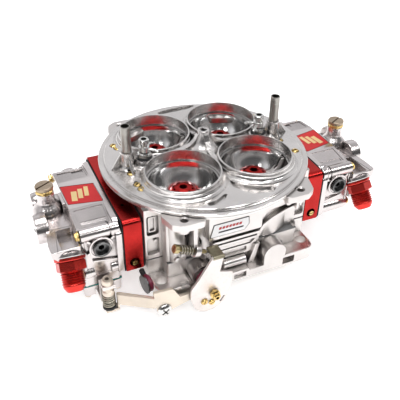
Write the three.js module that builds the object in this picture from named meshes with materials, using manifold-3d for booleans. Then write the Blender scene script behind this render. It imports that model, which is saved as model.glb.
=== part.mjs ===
// Square-flange four-barrel racing carburetor, millimetres, +Z up.
// Origin: centre of the mounting flange's bottom face. -X is the primary end, +X the secondary end,
// -Y the throttle-lever side.
import * as THREE from "three";
import { mergeVertices } from "three/addons/utils/BufferGeometryUtils.js";
import Module from "manifold-3d";

const wasm = await Module();
wasm.setup();

// ---- driving dimensions ----
const GAP = 0.3; // between pieces that touch
const FLANGE = { x: 75.5, y: 82, corner: 12, skirtTop: 8, earTop: 13, bolt: 68.33, boltR: 5 };
const BASE_TOP = 28; // top of the throttle body's block
const BASE_WALL_Y = 68;
const SHAFT = { x: 34, z: 17, r: 4.76, holeR: 4.9, bossR: 11 };
const BORE = { x: 33.6, y: 34.5, throttleR: 27, venturiR: 31.2, lipR: 32.7 };
const PLATE = { r: 26.5, t: 1.6 };
const BODY = { bottom: 29.4, end: 77, endY: 57, wallY: 69, faceY: 75, faceBottom: 46 };
const HORN = { r: 93, plateauR: 88, bottom: 79, ledge: 84.7, plateau: 86.9, lipTop: 94.6 };
const EAR = { x: 52, y: 81, bottom: 75.5, top: 81.7, holeR: 2.8 };
const POST = { top: 107.5, topR: 5.2, footR: 17, holeR: 2.6 };
const NOZZLE = { x: 55, base: 92.5, top: 110.5, r: 3.8, padR: 9 };
const VENT = { x: 70.4, foot: 102, top: 126, r: 4.2, boreR: 3.2 };
const BLOCK = { inner: 78.3, outer: 93.7, y: 55, bottom: 20.5, top: 71.8, corner: 5 };
const BOWL = { inner: 95, lid: 128.5, end: 152, top: 72, endTop: 61, nearY: 51, farY: 46, bottom: 23 };
const BOWL_SCREW = { y: 48.5, upper: 65.5, lower: 27 };
const TOWER = { x: 142, r: 7.4, top: 80.5 };
// drop: degrees below level; splay: degrees away from the bores.
const INLET = { x: 137.5, y: -49, z: 48, bossR: 14.2, spotR: 17, collarR: 12.6, drop: 52, splay: 4 };
const SIGHT = { x: 112.3, z: 53, r: 7.2, faceY: 55 };
const PUMP = { x: 112.5, nearY: -49, farY: 13, gasketZ: 10, coverBottom: -1, armPivotY: 8, armZ: -3.6 };
const PUMP_BOLT = { y: -61, top: 25, foot: -7.4 };
const LEVER = { inner: 88.5, outer: 91, tabZ: 42.4 };
const PUMP_LEVER = { x: 73, z: -2, inner: 84.5, outer: 87.5 };
const LINK = { lever: 90, pin: 20 };
const FLOAT = { hingeX: 148, hingeZ: 50, inner: 100, outer: 121, bottom: 36, top: 48, y: 36 };
const IDLE = { y: -80, headX: -59, headZ: 53.8, tipX: -32.2, tipZ: 41.9 };
const MIXTURE = { x: 86, z: 29, y: 55 };

// ---- solids from three.js geometry ----
function solid(geometry) {
  const bare = geometry.clone();
  bare.deleteAttribute("normal");
  bare.deleteAttribute("uv");
  const merged = mergeVertices(bare, 1e-4);
  const index = [];
  for (let i = 0; i < merged.index.count; i += 3) {
    const [a, b, c] = [0, 1, 2].map((k) => merged.index.getX(i + k));
    if (a !== b && b !== c && a !== c) index.push(a, b, c);
  }
  const build = (triVerts) =>
    new wasm.Manifold(
      new wasm.Mesh({ numProp: 3, vertProperties: merged.attributes.position.array, triVerts }),
    );
  const made = build(new Uint32Array(index));
  return made.volume() < 0 ? build(new Uint32Array(index.reverse())) : made;
}
function box(x0, x1, y0, y1, z0, z1) {
  const g = new THREE.BoxGeometry(Math.abs(x1 - x0), Math.abs(y1 - y0), Math.abs(z1 - z0));
  return solid(g.translate((x0 + x1) / 2, (y0 + y1) / 2, (z0 + z1) / 2));
}
const v3 = (x, y, z) => new THREE.Vector3(x, y, z);
const Z_AXIS = v3(0, 0, 1);
// Revolves [radius, height] pairs about the line that leaves `at` along `direction`.
function lathe(profile, at = v3(0, 0, 0), direction = Z_AXIS, segments = 24) {
  const points = profile.map(([r, h]) => new THREE.Vector2(r, h));
  const g = new THREE.LatheGeometry(points, segments).rotateX(Math.PI / 2);
  g.applyQuaternion(new THREE.Quaternion().setFromUnitVectors(Z_AXIS, direction.clone().normalize()));
  return solid(g.translate(at.x, at.y, at.z));
}
// A cylinder from one point to another.
function rod(r, from, to, segments = 24) {
  const along = to.clone().sub(from);
  const length = along.length();
  return lathe([[0, 0], [r, 0], [r, length], [0, length]], from, along, segments);
}
const outline = (points) => new THREE.Shape(points.map(([a, b]) => new THREE.Vector2(a, b)));
const AXES = {
  z: [v3(1, 0, 0), v3(0, 1, 0), v3(0, 0, 1)],
  y: [v3(0, 0, 1), v3(1, 0, 0), v3(0, 1, 0)], // outlines are [z, x]
  x: [v3(0, 1, 0), v3(0, 0, 1), v3(1, 0, 0)], // outlines are [y, z]
};
// Extrudes an outline between two values of an axis.
function prism(shape, axis, from, to) {
  const depth = Math.abs(to - from);
  const g = new THREE.ExtrudeGeometry(shape, { depth, bevelEnabled: false, curveSegments: 4 });
  g.translate(0, 0, Math.min(from, to));
  return solid(g.applyMatrix4(new THREE.Matrix4().makeBasis(...AXES[axis])));
}
const plateXZ = (points, y0, y1) => prism(outline(points.map(([x, z]) => [z, x])), "y", y0, y1);
function roundedRect(halfX, halfY, r) {
  const s = new THREE.Shape();
  s.moveTo(halfX, r - halfY);
  s.absarc(halfX - r, halfY - r, r, 0, Math.PI / 2);
  s.absarc(r - halfX, halfY - r, r, Math.PI / 2, Math.PI);
  s.absarc(r - halfX, r - halfY, r, Math.PI, Math.PI * 1.5);
  s.absarc(halfX - r, r - halfY, r, -Math.PI / 2, 0);
  return s;
}
const join = (...parts) => parts.reduce((a, b) => a.add(b));
const cut = (stock, ...tools) => tools.reduce((a, b) => a.subtract(b), stock);
const turned = (s) => mapped(s, new THREE.Matrix4().makeRotationZ(Math.PI));
function mapped(s, matrix) {
  return solid(geometryOf(s).applyMatrix4(matrix));
}
function geometryOf(s) {
  const mesh = s.getMesh();
  const g = new THREE.BufferGeometry();
  const xyz = new Float32Array(mesh.numVert * 3);
  for (let i = 0; i < mesh.numVert; i++) {
    xyz.set(mesh.vertProperties.subarray(i * mesh.numProp, i * mesh.numProp + 3), i * 3);
  }
  g.setAttribute("position", new THREE.BufferAttribute(xyz, 3));
  g.setIndex(new THREE.BufferAttribute(mesh.triVerts, 1));
  return g;
}

// ---- the scene graph ----
const LOOKS = {
  aluminium: { color: 0xd4d4d6, roughness: 0.3, metalness: 1 },
  polished: { color: 0xdcdcde, roughness: 0.12, metalness: 1 },
  red: { color: 0xb8141c, roughness: 0.25, metalness: 0.9 },
  steel: { color: 0xa8a49c, roughness: 0.3, metalness: 1 },
  brass: { color: 0xc8a04a, roughness: 0.3, metalness: 1 },
  zinc: { color: 0xe0d6c0, roughness: 0.4, metalness: 0.8 },
  gasket: { color: 0x16171a, roughness: 0.8, metalness: 0 },
  teal: { color: 0x2a8f86, roughness: 0.6, metalness: 0 },
  black: { color: 0x1c1c1e, roughness: 0.5, metalness: 0 },
  maroon: { color: 0x7a2438, roughness: 0.4, metalness: 0 },
};
const carburetor = new THREE.Group();
function node(name, s, look) {
  const geometry = geometryOf(s).toNonIndexed();
  geometry.computeVertexNormals();
  const mesh = new THREE.Mesh(geometry, new THREE.MeshStandardMaterial(LOOKS[look]));
  mesh.name = name;
  carburetor.add(mesh);
}
const CAM_LOBE = { primary: 343, secondary: 57 }; // degrees from +X towards +Z, throttle closed
const ENDS = [
  ["primary", (s) => s],
  ["secondary", turned],
];
const CORNERS = [
  ["primary_near", -1, -1],
  ["primary_far", -1, 1],
  ["secondary_near", 1, -1],
  ["secondary_far", 1, 1],
];
const corners = (make) => CORNERS.map(([, sx, sy]) => make(sx, sy));

// ---- main body: air horn, venturi walls and the faces that the blocks bolt to ----
function hornEar(sx, sy) {
  const points = [[34, 60], [36, 89], [56, 89], [63, 84], [67, 70], [60, 50]];
  return prism(outline(points.map(([x, y]) => [x * sx, y * sy])), "z", EAR.bottom, EAR.top);
}
function centrePost() {
  const foot = HORN.plateau - 2;
  const profile = [[0, foot], [POST.footR, foot], [POST.footR * 0.6, foot + 7], [POST.topR, foot + 15]];
  const post = lathe([...profile, [POST.topR, POST.top], [0, POST.top]]);
  const web = [[-30, foot], [30, foot], [30, HORN.lipTop - 3], [6, POST.top - 4], [-6, POST.top - 4]];
  web.push([-30, HORN.lipTop - 3]);
  const alongX = plateXZ(web, -1.6, 1.6);
  const alongY = prism(outline(web), "x", -1.6, 1.6);
  return join(post, alongX, alongY);
}
function topBosses(sign) {
  const x = (v) => v * sign;
  const foot = HORN.plateau - 2;
  const pad = rod(NOZZLE.padR, v3(x(NOZZLE.x), 0, foot), v3(x(NOZZLE.x), 0, NOZZLE.base));
  const pyramid = lathe([[0, foot], [14, foot], [VENT.r + 1.2, VENT.foot], [0, VENT.foot]],
    v3(x(VENT.x), 0, 0), Z_AXIS, 4);
  return join(pad, pyramid);
}
function idleDirection() {
  return v3(IDLE.tipX - IDLE.headX, 0, IDLE.tipZ - IDLE.headZ).normalize();
}
function idlePoint(distance) {
  return v3(IDLE.headX, IDLE.y, IDLE.headZ).addScaledVector(idleDirection(), distance);
}
function mainBody() {
  const horn = lathe([[0, HORN.bottom], [HORN.r, HORN.bottom], [HORN.r, HORN.ledge],
    [HORN.plateauR, HORN.ledge], [HORN.plateauR, HORN.plateau], [0, HORN.plateau]],
  v3(0, 0, 0), Z_AXIS, 60);
  const core = box(-63, 63, -BODY.wallY, BODY.wallY, BODY.bottom, HORN.bottom + 1);
  const ends = box(-BODY.end, BODY.end, -BODY.endY, BODY.endY, BODY.bottom, HORN.bottom + 1);
  const bulge = box(-28, 22, -BODY.faceY, BODY.faceY, BODY.faceBottom, HORN.bottom + 1);
  const lug = join(
    rod(5.6, idlePoint(16.5), idlePoint(21.5)),
    box(-43.5, -40, IDLE.y - 1, -BODY.wallY + 1, IDLE.tipZ + 1, HORN.bottom - 2),
  );
  const posts = corners((sx, sy) => box(54 * sx, 60 * sx, 66 * sy, 78 * sy, 58, EAR.bottom + 1));
  const lips = corners((sx, sy) =>
    rod(BORE.lipR, v3(BORE.x * sx, BORE.y * sy, HORN.bottom),
      v3(BORE.x * sx, BORE.y * sy, HORN.lipTop), 36));
  const stock = join(horn, core, ends, bulge, lug, ...posts, ...corners(hornEar), ...lips,
    centrePost(), topBosses(-1), topBosses(1));
  const bores = corners((sx, sy) =>
    rod(BORE.venturiR, v3(BORE.x * sx, BORE.y * sy, BODY.bottom - 1),
      v3(BORE.x * sx, BORE.y * sy, HORN.lipTop + 20), 36));
  const earHoles = corners((sx, sy) =>
    rod(EAR.holeR, v3(EAR.x * sx, EAR.y * sy, EAR.bottom - 20),
      v3(EAR.x * sx, EAR.y * sy, EAR.top + 9), 12));
  const tapped = rod(POST.holeR, v3(0, 0, POST.top - 14), v3(0, 0, POST.top + 1), 12);
  const idleHole = rod(2.2, idlePoint(10), idlePoint(25), 12);
  const ventSeats = [-1, 1].map((s) =>
    rod(VENT.r + GAP, v3(VENT.x * s, 0, VENT.foot - 9), v3(VENT.x * s, 0, VENT.foot + 1), 16));
  const ventWells = [-1, 1].map((s) =>
    rod(VENT.boreR, v3(VENT.x * s, 0, VENT.foot - 20), v3(VENT.x * s, 0, VENT.foot + 1), 12));
  const sidePockets = [-1, 1].flatMap((s) => [
    box(-13, 12, s * (BODY.wallY - 2), s * (BODY.wallY + 9), 33, 41),
    box(s * 66.5, s * 74, s * (BODY.endY - 4), s * (BODY.endY + 1), 34, 50),
    box(s * 66.5, s * 74, s * (BODY.endY - 4), s * (BODY.endY + 1), 55, 71),
  ]);
  return cut(stock, ...bores, ...earHoles, tapped, idleHole, ...ventSeats, ...ventWells,
    ...sidePockets);
}

// ---- throttle body: the flange plate with four bores ----
function throttleBody() {
  const skirt = prism(roundedRect(FLANGE.x, FLANGE.y, FLANGE.corner), "z", 0, FLANGE.skirtTop);
  const ears = corners((sx, sy) =>
    prism(roundedRect(17.5, 14.5, 9), "z", 0, FLANGE.earTop)
      .translate([(FLANGE.x - 17.5) * sx, (FLANGE.y - 14.5) * sy, 0]));
  const block = box(-62, 62, -BASE_WALL_Y, BASE_WALL_Y, 1, BASE_TOP);
  const ends = box(-BODY.end + 0.2, BODY.end - 0.2, -BODY.endY, BODY.endY, 1, BASE_TOP);
  const bosses = corners((sx, sy) =>
    rod(SHAFT.bossR, v3(SHAFT.x * sx, BASE_WALL_Y * sy * 0.9, SHAFT.z),
      v3(SHAFT.x * sx, FLANGE.y * sy, SHAFT.z), 20));
  const pads = corners((sx, sy) =>
    box(23.2 * sx, 43.6 * sx, BASE_WALL_Y * sy * 0.9, FLANGE.y * sy, 1, SHAFT.z));
  const pumpLugs = [-1, 1].map((s) =>
    join(
      rod(5, v3(PUMP_LEVER.x * s, s * (FLANGE.y - 6), PUMP_LEVER.z),
        v3(PUMP_LEVER.x * s, s * (FLANGE.y + 2), PUMP_LEVER.z), 16),
      box(s * 67, s * (FLANGE.x + 1), s * (FLANGE.y - 7), s * (FLANGE.y + 2), PUMP_LEVER.z, 8)));
  const stock = join(skirt, ...ears, block, ends, ...bosses, ...pads, ...pumpLugs);
  const bores = corners((sx, sy) =>
    rod(BORE.throttleR, v3(BORE.x * sx, BORE.y * sy, -1),
      v3(BORE.x * sx, BORE.y * sy, BASE_TOP + 1), 36));
  const boltHoles = corners((sx, sy) =>
    rod(FLANGE.boltR, v3(FLANGE.bolt * sx, FLANGE.bolt * sy, -1),
      v3(FLANGE.bolt * sx, FLANGE.bolt * sy, BASE_TOP), 16));
  const shaftHoles = [-1, 1].map((sx) =>
    rod(SHAFT.holeR, v3(SHAFT.x * sx, sx < 0 ? -FLANGE.y - 1 : -FLANGE.y + 3, SHAFT.z),
      v3(SHAFT.x * sx, FLANGE.y + 1, SHAFT.z), 20));
  const pivotHoles = [-1, 1].map((s) =>
    rod(2.3, v3(PUMP_LEVER.x * s, s * (FLANGE.y - 8), PUMP_LEVER.z),
      v3(PUMP_LEVER.x * s, s * (FLANGE.y + 4), PUMP_LEVER.z), 12));
  const window = box(42.4, 54.4, -FLANGE.y - 1, -FLANGE.y + 7, 2.5, 10);
  return cut(stock, ...bores, ...boltHoles, ...shaftHoles, ...pivotHoles, window);
}
function bodyGasket() {
  const sheet = join(
    box(-62, 62, -BASE_WALL_Y, BASE_WALL_Y, BASE_TOP + GAP, BODY.bottom - GAP),
    box(-BODY.end + 1, BODY.end - 1, -BODY.endY + 1, BODY.endY - 1, BASE_TOP + GAP, BODY.bottom - GAP));
  return cut(sheet, ...corners((sx, sy) =>
    rod(BORE.venturiR, v3(BORE.x * sx, BORE.y * sy, BASE_TOP),
      v3(BORE.x * sx, BORE.y * sy, BODY.bottom), 32)));
}

// ---- one venturi sleeve with its booster ----
function venturiSleeve(sx, sy) {
  const outer = BORE.venturiR - GAP;
  const profile = [[outer, 30], [outer, 84], [30, 84], [27.6, 76], [24, 66], [22.4, 56], [23.2, 44],
    [26.6, 30], [outer, 30]];
  return lathe(profile, v3(BORE.x * sx, BORE.y * sy, 0), Z_AXIS, 28);
}
const BOOSTER_SIDE = { primary_near: -1, primary_far: 1, secondary_near: 1, secondary_far: -1 };
function booster(sx, sy, side) {
  const [x, y] = [BORE.x * sx, BORE.y * sy];
  const ring = lathe([[6, 52], [9.6, 54], [10.4, 62], [9.2, 67], [6.6, 67], [5.6, 62], [6, 52]],
    v3(x, y, 0), Z_AXIS, 24);
  const leg = box(x + side * 8.5, x + side * 22, y - 2.2, y + 2.2, 60.5, 65);
  return join(ring, leg);
}
function sleeveSlot(sx, sy, side) {
  const [x, y] = [BORE.x * sx, BORE.y * sy];
  return box(x + side * 17, x + side * (22 + GAP), y - 2.2 - GAP, y + 2.2 + GAP, 60.5 - GAP, 65 + GAP);
}

// ---- small brass and steel pieces on the air horn ----
function ventTube(s) {
  const [x, bottom] = [VENT.x * s, VENT.foot - 8.5];
  return lathe([[VENT.boreR, bottom], [VENT.r, bottom], [VENT.r, VENT.top], [VENT.boreR, VENT.top],
    [VENT.boreR, bottom]], v3(x, 0, 0), Z_AXIS, 20);
}
function pumpNozzle(s) {
  const foot = NOZZLE.base + GAP;
  const column = lathe([[0, foot], [NOZZLE.r + 1.6, foot], [NOZZLE.r + 1.6, foot + 2.5],
    [NOZZLE.r - 0.6, foot + 3.5], [NOZZLE.r - 0.6, foot + 13], [NOZZLE.r, foot + 14],
    [NOZZLE.r, NOZZLE.top], [0, NOZZLE.top]], v3(NOZZLE.x * s, 0, 0), Z_AXIS, 20);
  const arm = (sy) => rod(1.6, v3(NOZZLE.x * s, 0, foot + 10), v3((NOZZLE.x - 9) * s, 7 * sy, foot + 9), 8);
  const socket = lathe([[0, NOZZLE.top - 4], [2.6, NOZZLE.top - 4], [2.6, NOZZLE.top + 1],
    [0, NOZZLE.top + 1]], v3(NOZZLE.x * s, 0, 0), Z_AXIS, 6);
  return cut(join(column, arm(-1), arm(1)), socket);
}

// ---- metering block and its gaskets (primary end; the secondary is turned about Z) ----
function slabYZ(halfY, bottom, top, c) {
  return outline([[-halfY, bottom], [halfY, bottom], [halfY, top - c], [halfY - c, top], [c - halfY, top],
    [-halfY, top - c]]);
}
function meteringBlock() {
  const slab = prism(slabYZ(BLOCK.y, BLOCK.bottom, BLOCK.top, BLOCK.corner), "x",
    -BLOCK.outer, -BLOCK.inner);
  const wells = [-1, 1].map((s) =>
    rod(2.9, v3(-MIXTURE.x, s * (MIXTURE.y + 1), MIXTURE.z), v3(-MIXTURE.x, s * 43, MIXTURE.z), 16));
  return cut(slab, ...wells);
}
function flatGasket(inner) {
  const sheet = prism(slabYZ(BLOCK.y - 0.4, BLOCK.bottom + 0.6, BLOCK.top - 0.6, BLOCK.corner), "x",
    -inner - 0.7, -inner);
  return cut(sheet, box(-inner - 2, -inner + 2, -38, 38, 32, 62));
}
function mixtureScrew(s) {
  const tip = v3(-MIXTURE.x, s * (MIXTURE.y - 10), MIXTURE.z);
  const screw = join(rod(2.4, tip, v3(-MIXTURE.x, s * (MIXTURE.y + 1.4), MIXTURE.z), 16));
  const slot = box(-MIXTURE.x - 3, -MIXTURE.x + 3, s * (MIXTURE.y + 0.2), s * (MIXTURE.y + 2),
    MIXTURE.z - 0.4, MIXTURE.z + 0.4);
  return cut(screw, slot);
}

// ---- fuel bowl ----
const inletDirection = () => {
  const [drop, splay] = [INLET.drop, INLET.splay].map(THREE.MathUtils.degToRad);
  return v3(-Math.sin(splay), -Math.cos(drop), -Math.sin(drop)).normalize();
};
// A point on the inlet's axis, a distance out from the face that the fitting screws into.
const inletPoint = (out) => v3(-INLET.x, INLET.y, INLET.z).addScaledVector(inletDirection(), out);
const mirrorY = (s) => mapped(s, new THREE.Matrix4().makeScale(1, -1, 1));
const mirrorX = (s) => mapped(s, new THREE.Matrix4().makeScale(-1, 1, 1));
const pumpBox = (z0, z1) => box(-PUMP.x - 17.5, -PUMP.x + 16, PUMP.nearY, PUMP.farY, z0, z1);
// nearSide is the y side, before the secondary bowl is turned, that ends up on the lever side.
function bowlSection(nearSide) {
  const near = [[44, BOWL.bottom], [BOWL.nearY, BOWL.bottom + 6], [BOWL.nearY, 62], [45, 68.5]];
  const far = [[40, BOWL.bottom], [BOWL.farY, BOWL.bottom + 6], [BOWL.farY, 62], [40, 69.5]];
  const top = [[20, BOWL.top], [-20, BOWL.top]];
  const points = [...near, ...top, ...far.map(([y, z]) => [-y, z]).reverse()];
  return outline(points.map(([y, z]) => [y * nearSide, z]));
}
function fuelBowl(nearSide) {
  const onNearSide = (s) => (nearSide < 0 ? s : mirrorY(s));
  const flange = prism(slabYZ(BLOCK.y, BLOCK.bottom, BLOCK.top, 10), "x", -BOWL.inner - 5, -BOWL.inner);
  const tank = prism(bowlSection(nearSide), "x", -BOWL.lid, -BOWL.inner);
  const [low, high] = [BOWL_SCREW.lower, BOWL_SCREW.upper];
  const screwSpots = [[6, nearSide, high], [4.5, -nearSide * 0.95, high - 4], [6, 1, low], [6, -1, low]];
  const screwBosses = screwSpots.map(([r, side, z]) =>
    rod(r, v3(-BOWL.inner, BOWL_SCREW.y * side, z), v3(-BOWL.lid, BOWL_SCREW.y * side, z), 12));
  const endHousing = box(-BOWL.end, -BOWL.lid + 1, nearSide * 50, nearSide * -15, 34, BOWL.endTop);
  const lobe = rod(10.5, v3(-BOWL.end + 3, nearSide * 16, 56.5), v3(-BOWL.end - 5, nearSide * 16, 56.5), 24);
  const tower = lathe([[0, 56], [13.6, 56], [13.6, 67], [TOWER.r, 74.5], [TOWER.r, TOWER.top],
    [0, TOWER.top]], v3(-TOWER.x, 0, 0), Z_AXIS, 24);
  const inletBoss = rod(INLET.bossR, inletPoint(-7), inletPoint(0), 24);
  const sights = [-1, 1].map((s) =>
    rod(SIGHT.r + 3, v3(-SIGHT.x, s * 40, SIGHT.z), v3(-SIGHT.x, s * SIGHT.faceY, SIGHT.z), 20));
  const pumpChamber = pumpBox(PUMP.gasketZ + 1, 26);
  const spotFace = rod(INLET.spotR, inletPoint(0), inletPoint(40), 24);
  const stock = cut(join(flange, tank, ...screwBosses, endHousing, lobe, tower, ...sights),
    onNearSide(spotFace));
  const tankCavity = box(-125.5, -BOWL.inner + 1, -41, 41, 27, 66);
  const armCavity = box(-150, -124.5, -11, 11, 42, 58);
  const needleBore = rod(3.6, v3(-TOWER.x, 0, 50), v3(-TOWER.x, 0, TOWER.top + 1), 16);
  const pocket = box(-147, -BOWL.lid, nearSide * 14, nearSide * 66, 51, BOWL.endTop + 1);
  const lowerPockets = [-1, 1].map((s) => box(-160, -BOWL.lid, s * 40, s * 60, 20, 36));
  const plugHoles = [-1, 1].map((s) =>
    rod(5.3, v3(-SIGHT.x, s * 38, SIGHT.z), v3(-SIGHT.x, s * 57, SIGHT.z), 16));
  const inletBore = rod(5.6, inletPoint(-5), inletPoint(2), 16);
  const rimPocket = box(-143, -BOWL.lid, nearSide * 15, nearSide * 53, 55.5, BOWL.endTop + 2);
  const armSweep = box(-PUMP.x - 7, -PUMP.x + 7, -60, -BOWL.nearY, 19, 36); // room for the rising pump arm
  return cut(join(cut(stock, pocket, armSweep, ...lowerPockets), onNearSide(inletBoss), pumpChamber),
    rimPocket, tankCavity, armCavity, needleBore, ...plugHoles, onNearSide(inletBore));
}
function fuelFitting() {
  const profile = [[0, -4], [5.2, -4], [5.2, GAP], [INLET.collarR, GAP], [INLET.collarR, 3], [11.8, 3.4],
    [11.8, 11.4], [9.3, 12.4], [9.5, 23], [6.2, 28], [4.2, 28], [4.2, -2], [0, -2]];
  return lathe(profile, inletPoint(0), inletDirection(), 20);
}
function sightPlug() {
  const out = v3(0, -1, 0);
  const profile = [[0, -11], [4.9, -11], [4.9, GAP], [SIGHT.r, GAP], [SIGHT.r, 2.6], [5.6, 2.9],
    [5.6, 1.2], [0, 1.2]];
  return lathe(profile, v3(-SIGHT.x, -SIGHT.faceY, SIGHT.z), out, 20);
}
function needleAdjuster() {
  const z = TOWER.top + GAP;
  const nut = lathe([[0, 68], [3.2, 68], [3.2, z], [5, z], [5, z + 2.8], [7.5, z + 2.8], [7.5, z + 5.8],
    [7, z + 6.2], [0, z + 6.2]], v3(-TOWER.x, 0, 0), Z_AXIS, 20);
  return cut(nut, box(-TOWER.x - 10, -TOWER.x + 10, -0.8, 0.8, z + 4.8, z + 7));
}
function inletNeedle() {
  return lathe([[0, 52.4], [2.6, 52.4], [2.6, 62], [0.6, 66.5], [0, 66.5]], v3(-TOWER.x, 0, 0), Z_AXIS, 16);
}
function float() {
  const pontoon = box(-FLOAT.outer, -FLOAT.inner, -FLOAT.y, FLOAT.y, FLOAT.bottom, FLOAT.top);
  const arm = box(-FLOAT.hingeX, -FLOAT.inner - 8, -4, 4, FLOAT.top - 0.5, FLOAT.hingeZ + 1.5);
  const barrel = rod(2, v3(-FLOAT.hingeX, -10.5, FLOAT.hingeZ), v3(-FLOAT.hingeX, 10.5, FLOAT.hingeZ), 12);
  return join(pontoon, arm, barrel);
}

// ---- accelerator pump under the bowl ----
function pumpDiaphragm() {
  return pumpBox(PUMP.gasketZ - 0.3, PUMP.gasketZ + 0.7);
}
function pumpCover() {
  const well = rod(13, v3(-PUMP.x, -19, PUMP.coverBottom - 1), v3(-PUMP.x, -19, 7), 20);
  const armSlot = box(-PUMP.x - 7.5, -PUMP.x + 7.5, PUMP.nearY - 1, PUMP.farY + 1,
    PUMP.coverBottom - 1, 5.2);
  return cut(pumpBox(PUMP.coverBottom, PUMP.gasketZ - 0.6), well, armSlot);
}
function pumpArm() {
  const half = 5.5;
  const bar = box(-PUMP.x - half, -PUMP.x + half, -55.6, PUMP.armPivotY + 3, PUMP.armZ - 1.5, PUMP.armZ + 1.5);
  const web = box(-PUMP.x - half, -PUMP.x + half, -55.6, -53.6, PUMP.armZ - 1.5, 20);
  const shelf = box(-PUMP.x - half, -PUMP.x + half, -66.5, -53.6, 17, 20);
  const button = rod(6, v3(-PUMP.x, -19, PUMP.armZ), v3(-PUMP.x, -19, 1.5), 16);
  const boltHole = rod(2.6, v3(-PUMP.x, PUMP_BOLT.y, 15), v3(-PUMP.x, PUMP_BOLT.y, 22), 14);
  const pivotHole = rod(1.3, v3(-PUMP.x - 9, PUMP.armPivotY, PUMP.armZ),
    v3(-PUMP.x + 9, PUMP.armPivotY, PUMP.armZ), 8);
  return cut(join(bar, web, shelf, button), boltHole, pivotHole);
}
function pumpBolt() {
  const { foot, top } = PUMP_BOLT;
  const profile = [[0, foot], [4.4, foot], [4.4, foot + 4], [2.2, foot + 4], [2.2, 20 + GAP],
    [3.8, 20 + GAP], [3.8, top], [0, top]];
  return lathe(profile, v3(-PUMP.x, PUMP_BOLT.y, 0), Z_AXIS, 16);
}
// Lever between the throttle's cam and the pump bolt, turning on a screw in the flange lug.
function pumpLever() {
  const { x, z, inner, outer } = PUMP_LEVER;
  const hub = rod(6, v3(-x, -outer, z), v3(-x, -inner, z), 20);
  const follower = plateXZ([[-x, z - 4.5], [-x - 2, z + 4], [-46, 6.5], [-40, 6.5], [-40, 2.5], [-46, 1]],
    -outer, -inner);
  const plate = plateXZ([[-x - 9, 19.5], [-x + 8, 18.5], [-x + 14, 8], [-x + 14, 2], [-x + 5, -6], [-x - 5, -6],
    [-x - 7, 3]], -outer, -inner);
  const sheet = prism(outline([[-104.5, -61.5], [-107.5, -61.5], [-107.5, -64], [-x - 9, -outer],
    [-x - 4, -outer], [-x - 4, -inner], [-x - 8, -inner]]), "z", -4, 7.5);
  const rise = new THREE.Matrix4().set(1, 0, 0, 0, 0, 1, 0, 0, 0.27, 0, 1, 0.27 * 106, 0, 0, 0, 1);
  const strip = mapped(sheet, rise);
  const foot = box(-107.5, -104.5, -64, -61.5, -11, 0);
  const pad = box(-PUMP.x - 4, -104.5, -64.5, -57.5, -11, -8.6);
  const screwHole = rod(2.5, v3(-x, -outer - 1, z), v3(-x, -inner + 1, z), 14);
  return cut(join(hub, follower, plate, strip, foot, pad), screwHole);
}

// ---- throttle shafts, plates and levers ----
function throttleShaft(sx) {
  const near = sx < 0 ? -LEVER.inner + GAP : -FLANGE.y + 3.5;
  const shaft = rod(SHAFT.r, v3(SHAFT.x * sx, near, SHAFT.z),
    v3(SHAFT.x * sx, LINK.lever - GAP, SHAFT.z), 20);
  const slots = [-1, 1].map((sy) =>
    box(SHAFT.x * sx - 6, SHAFT.x * sx + 6, BORE.y * sy - 27.4, BORE.y * sy + 27.4,
      SHAFT.z - PLATE.t / 2 - GAP, SHAFT.z + PLATE.t / 2 + GAP));
  return cut(shaft, ...slots);
}
function throttlePlate(sx, sy) {
  return rod(PLATE.r, v3(SHAFT.x * sx, BORE.y * sy, SHAFT.z - PLATE.t / 2),
    v3(SHAFT.x * sx, BORE.y * sy, SHAFT.z + PLATE.t / 2), 36);
}
function throttleLever() {
  const shape = [[-31, 43.6], [-21, 43.6], [-24.4, 26], [-12.4, 22], [-13.5, 5], [-18.6, -9.6], [-28, -16],
    [-39.4, -16.2], [-47, -9], [-50.5, 2.3], [-50.5, 14], [-44, 22]];
  const blade = plateXZ(shape, -LEVER.outer, -LEVER.inner);
  const tab = box(-31, -21, -LEVER.outer, -72, LEVER.tabZ - 1.2, LEVER.tabZ + 1.2);
  const hub = rod(8, v3(-SHAFT.x, -LEVER.outer + 0.5, SHAFT.z), v3(-SHAFT.x, -FLANGE.y - GAP, SHAFT.z), 20);
  const socket = rod(SHAFT.r + GAP, v3(-SHAFT.x, -LEVER.inner, SHAFT.z), v3(-SHAFT.x, -80, SHAFT.z), 20);
  const slot = rod(2.2, v3(-21.5, -LEVER.outer - 1, -5.5), v3(-21.5, -LEVER.inner + 1, -5.5), 10);
  const stud = lathe([[0, 0], [3, 0], [3, 2], [4.2, 3.5], [4.2, 6.5], [2.6, 8], [0, 8]],
    v3(-29.3, -LEVER.outer + 0.2, 3.1), v3(0, -1, 0), 14);
  return join(cut(join(blade, tab, hub), socket, slot), stud);
}
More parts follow.
